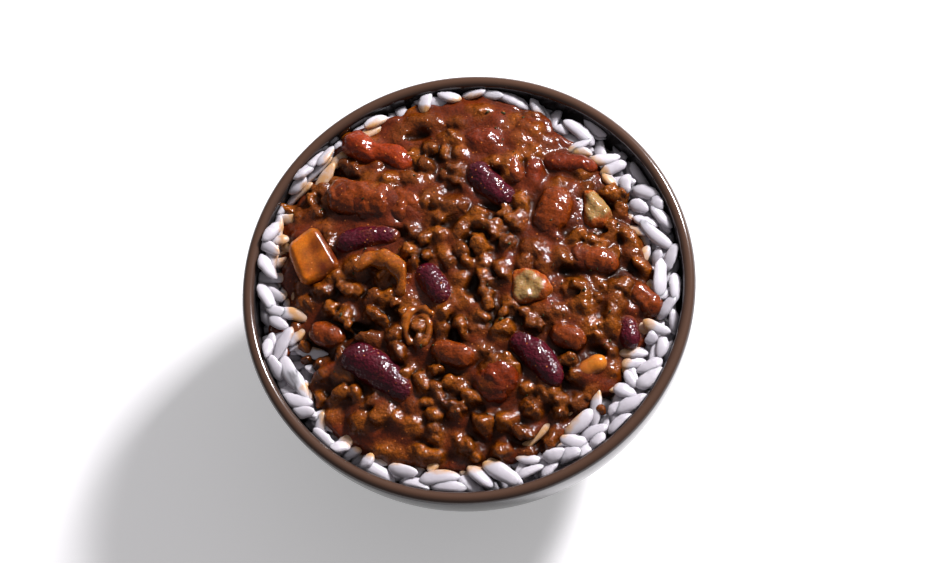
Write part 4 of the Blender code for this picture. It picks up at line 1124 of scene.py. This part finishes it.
# Near white and matt, with a slow cloud of grey. A little light of its own keeps it pale in the bowl's
# shadow.
floor_material, tree = new_material("pale_table")
place = add(tree, "NewGeometry").outputs["Position"]
cloud = add(tree, "TexNoise", {"Vector": place, "Scale": 1 / (60 * MM), "Detail": 2.0})
tone = add(tree, "Mix", {"Factor": cloud.outputs["Fac"], "A": srgb("#e9e9ec"), "B": srgb("#efefef")},
           data_type="RGBA")
shader = add(tree, "BsdfPrincipled", {"Base Color": tone.outputs["Result"], "Roughness": 0.7,
                                      "Emission Color": (1.0, 1.0, 1.0, 1.0), "Emission Strength": 0.3})
add(tree, "OutputMaterial", {"Surface": shader.outputs["BSDF"]})
bpy.ops.mesh.primitive_plane_add(size=4.0, location=(0, 0, 0))
floor = bpy.context.object
floor.name = "floor"
floor.data.materials.append(floor_material)


def soft_light(name, position, size, power, colour):
    """A square lamp that faces the food."""
    lamp = bpy.data.objects.new(name, bpy.data.lights.new(name, "AREA"))
    lamp.data.size = size
    lamp.data.energy = power
    lamp.data.color = colour
    lamp.location = position
    lamp.rotation_euler = (Vector((0, 0, 0.045)) - lamp.location).to_track_quat("-Z", "Y").to_euler()
    bpy.context.scene.collection.objects.link(lamp)


soft_light("window", position=(0.42, 0.46, 0.47), size=0.15, power=13.2, colour=(1.0, 0.97, 1.0))

# The room round it: a broad glow on the window's side that fades into dim, cool light all round.
world = bpy.data.worlds.new("studio")
world.use_nodes = True
tree = world.node_tree
tree.nodes.clear()
way = add(tree, "TexCoord").outputs["Generated"]
facing = add(tree, "VectorMath", {0: way, 1: (0.38, 0.72, 0.58)}, operation="DOT_PRODUCT").outputs["Value"]
glow = add(tree, "MapRange", {"Value": facing, "From Min": 0.4, "From Max": 1.0, "To Min": 0.2,
                              "To Max": 0.44}, interpolation_type="SMOOTHSTEP")
sky = add(tree, "Background", {"Color": (0.98, 0.94, 0.98, 1.0), "Strength": glow.outputs["Result"]})
add(tree, "OutputWorld", {"Surface": sky.outputs["Background"]})
bpy.context.scene.world = world
bpy.context.scene.view_settings.view_transform = "Standard"

AZIMUTH, ELEVATION, ROLL = (math.radians(v) for v in (17, 68.7, 17))
DISTANCE = 0.46  # from the middle of the rim, in metres
VIEW_WIDTH = 205.435  # what the view takes in from side to side at the rim's height
back = Vector((
    math.sin(AZIMUTH) * math.cos(ELEVATION), -math.cos(AZIMUTH) * math.cos(ELEVATION), math.sin(ELEVATION)
))
level_right = Vector((math.cos(AZIMUTH), math.sin(AZIMUTH), 0))
level_up = back.cross(level_right)
right = math.cos(ROLL) * level_right - math.sin(ROLL) * level_up
up = math.sin(ROLL) * level_right + math.cos(ROLL) * level_up
camera = bpy.data.objects.new("camera", bpy.data.cameras.new("camera"))
bpy.context.scene.collection.objects.link(camera)
turn = Matrix((right, up, back)).transposed().to_4x4()
camera.matrix_world = Matrix.Translation(Vector((0, 0, rim_z * MM)) + back * DISTANCE) @ turn
camera.data.sensor_width = 36
camera.data.lens = 36 * DISTANCE / (VIEW_WIDTH * MM)
camera.data.shift_x = 0.00677  # the rim's middle is a little left of the view's, and
camera.data.shift_y = -0.00053  # a very little above it
bpy.context.scene.camera = camera
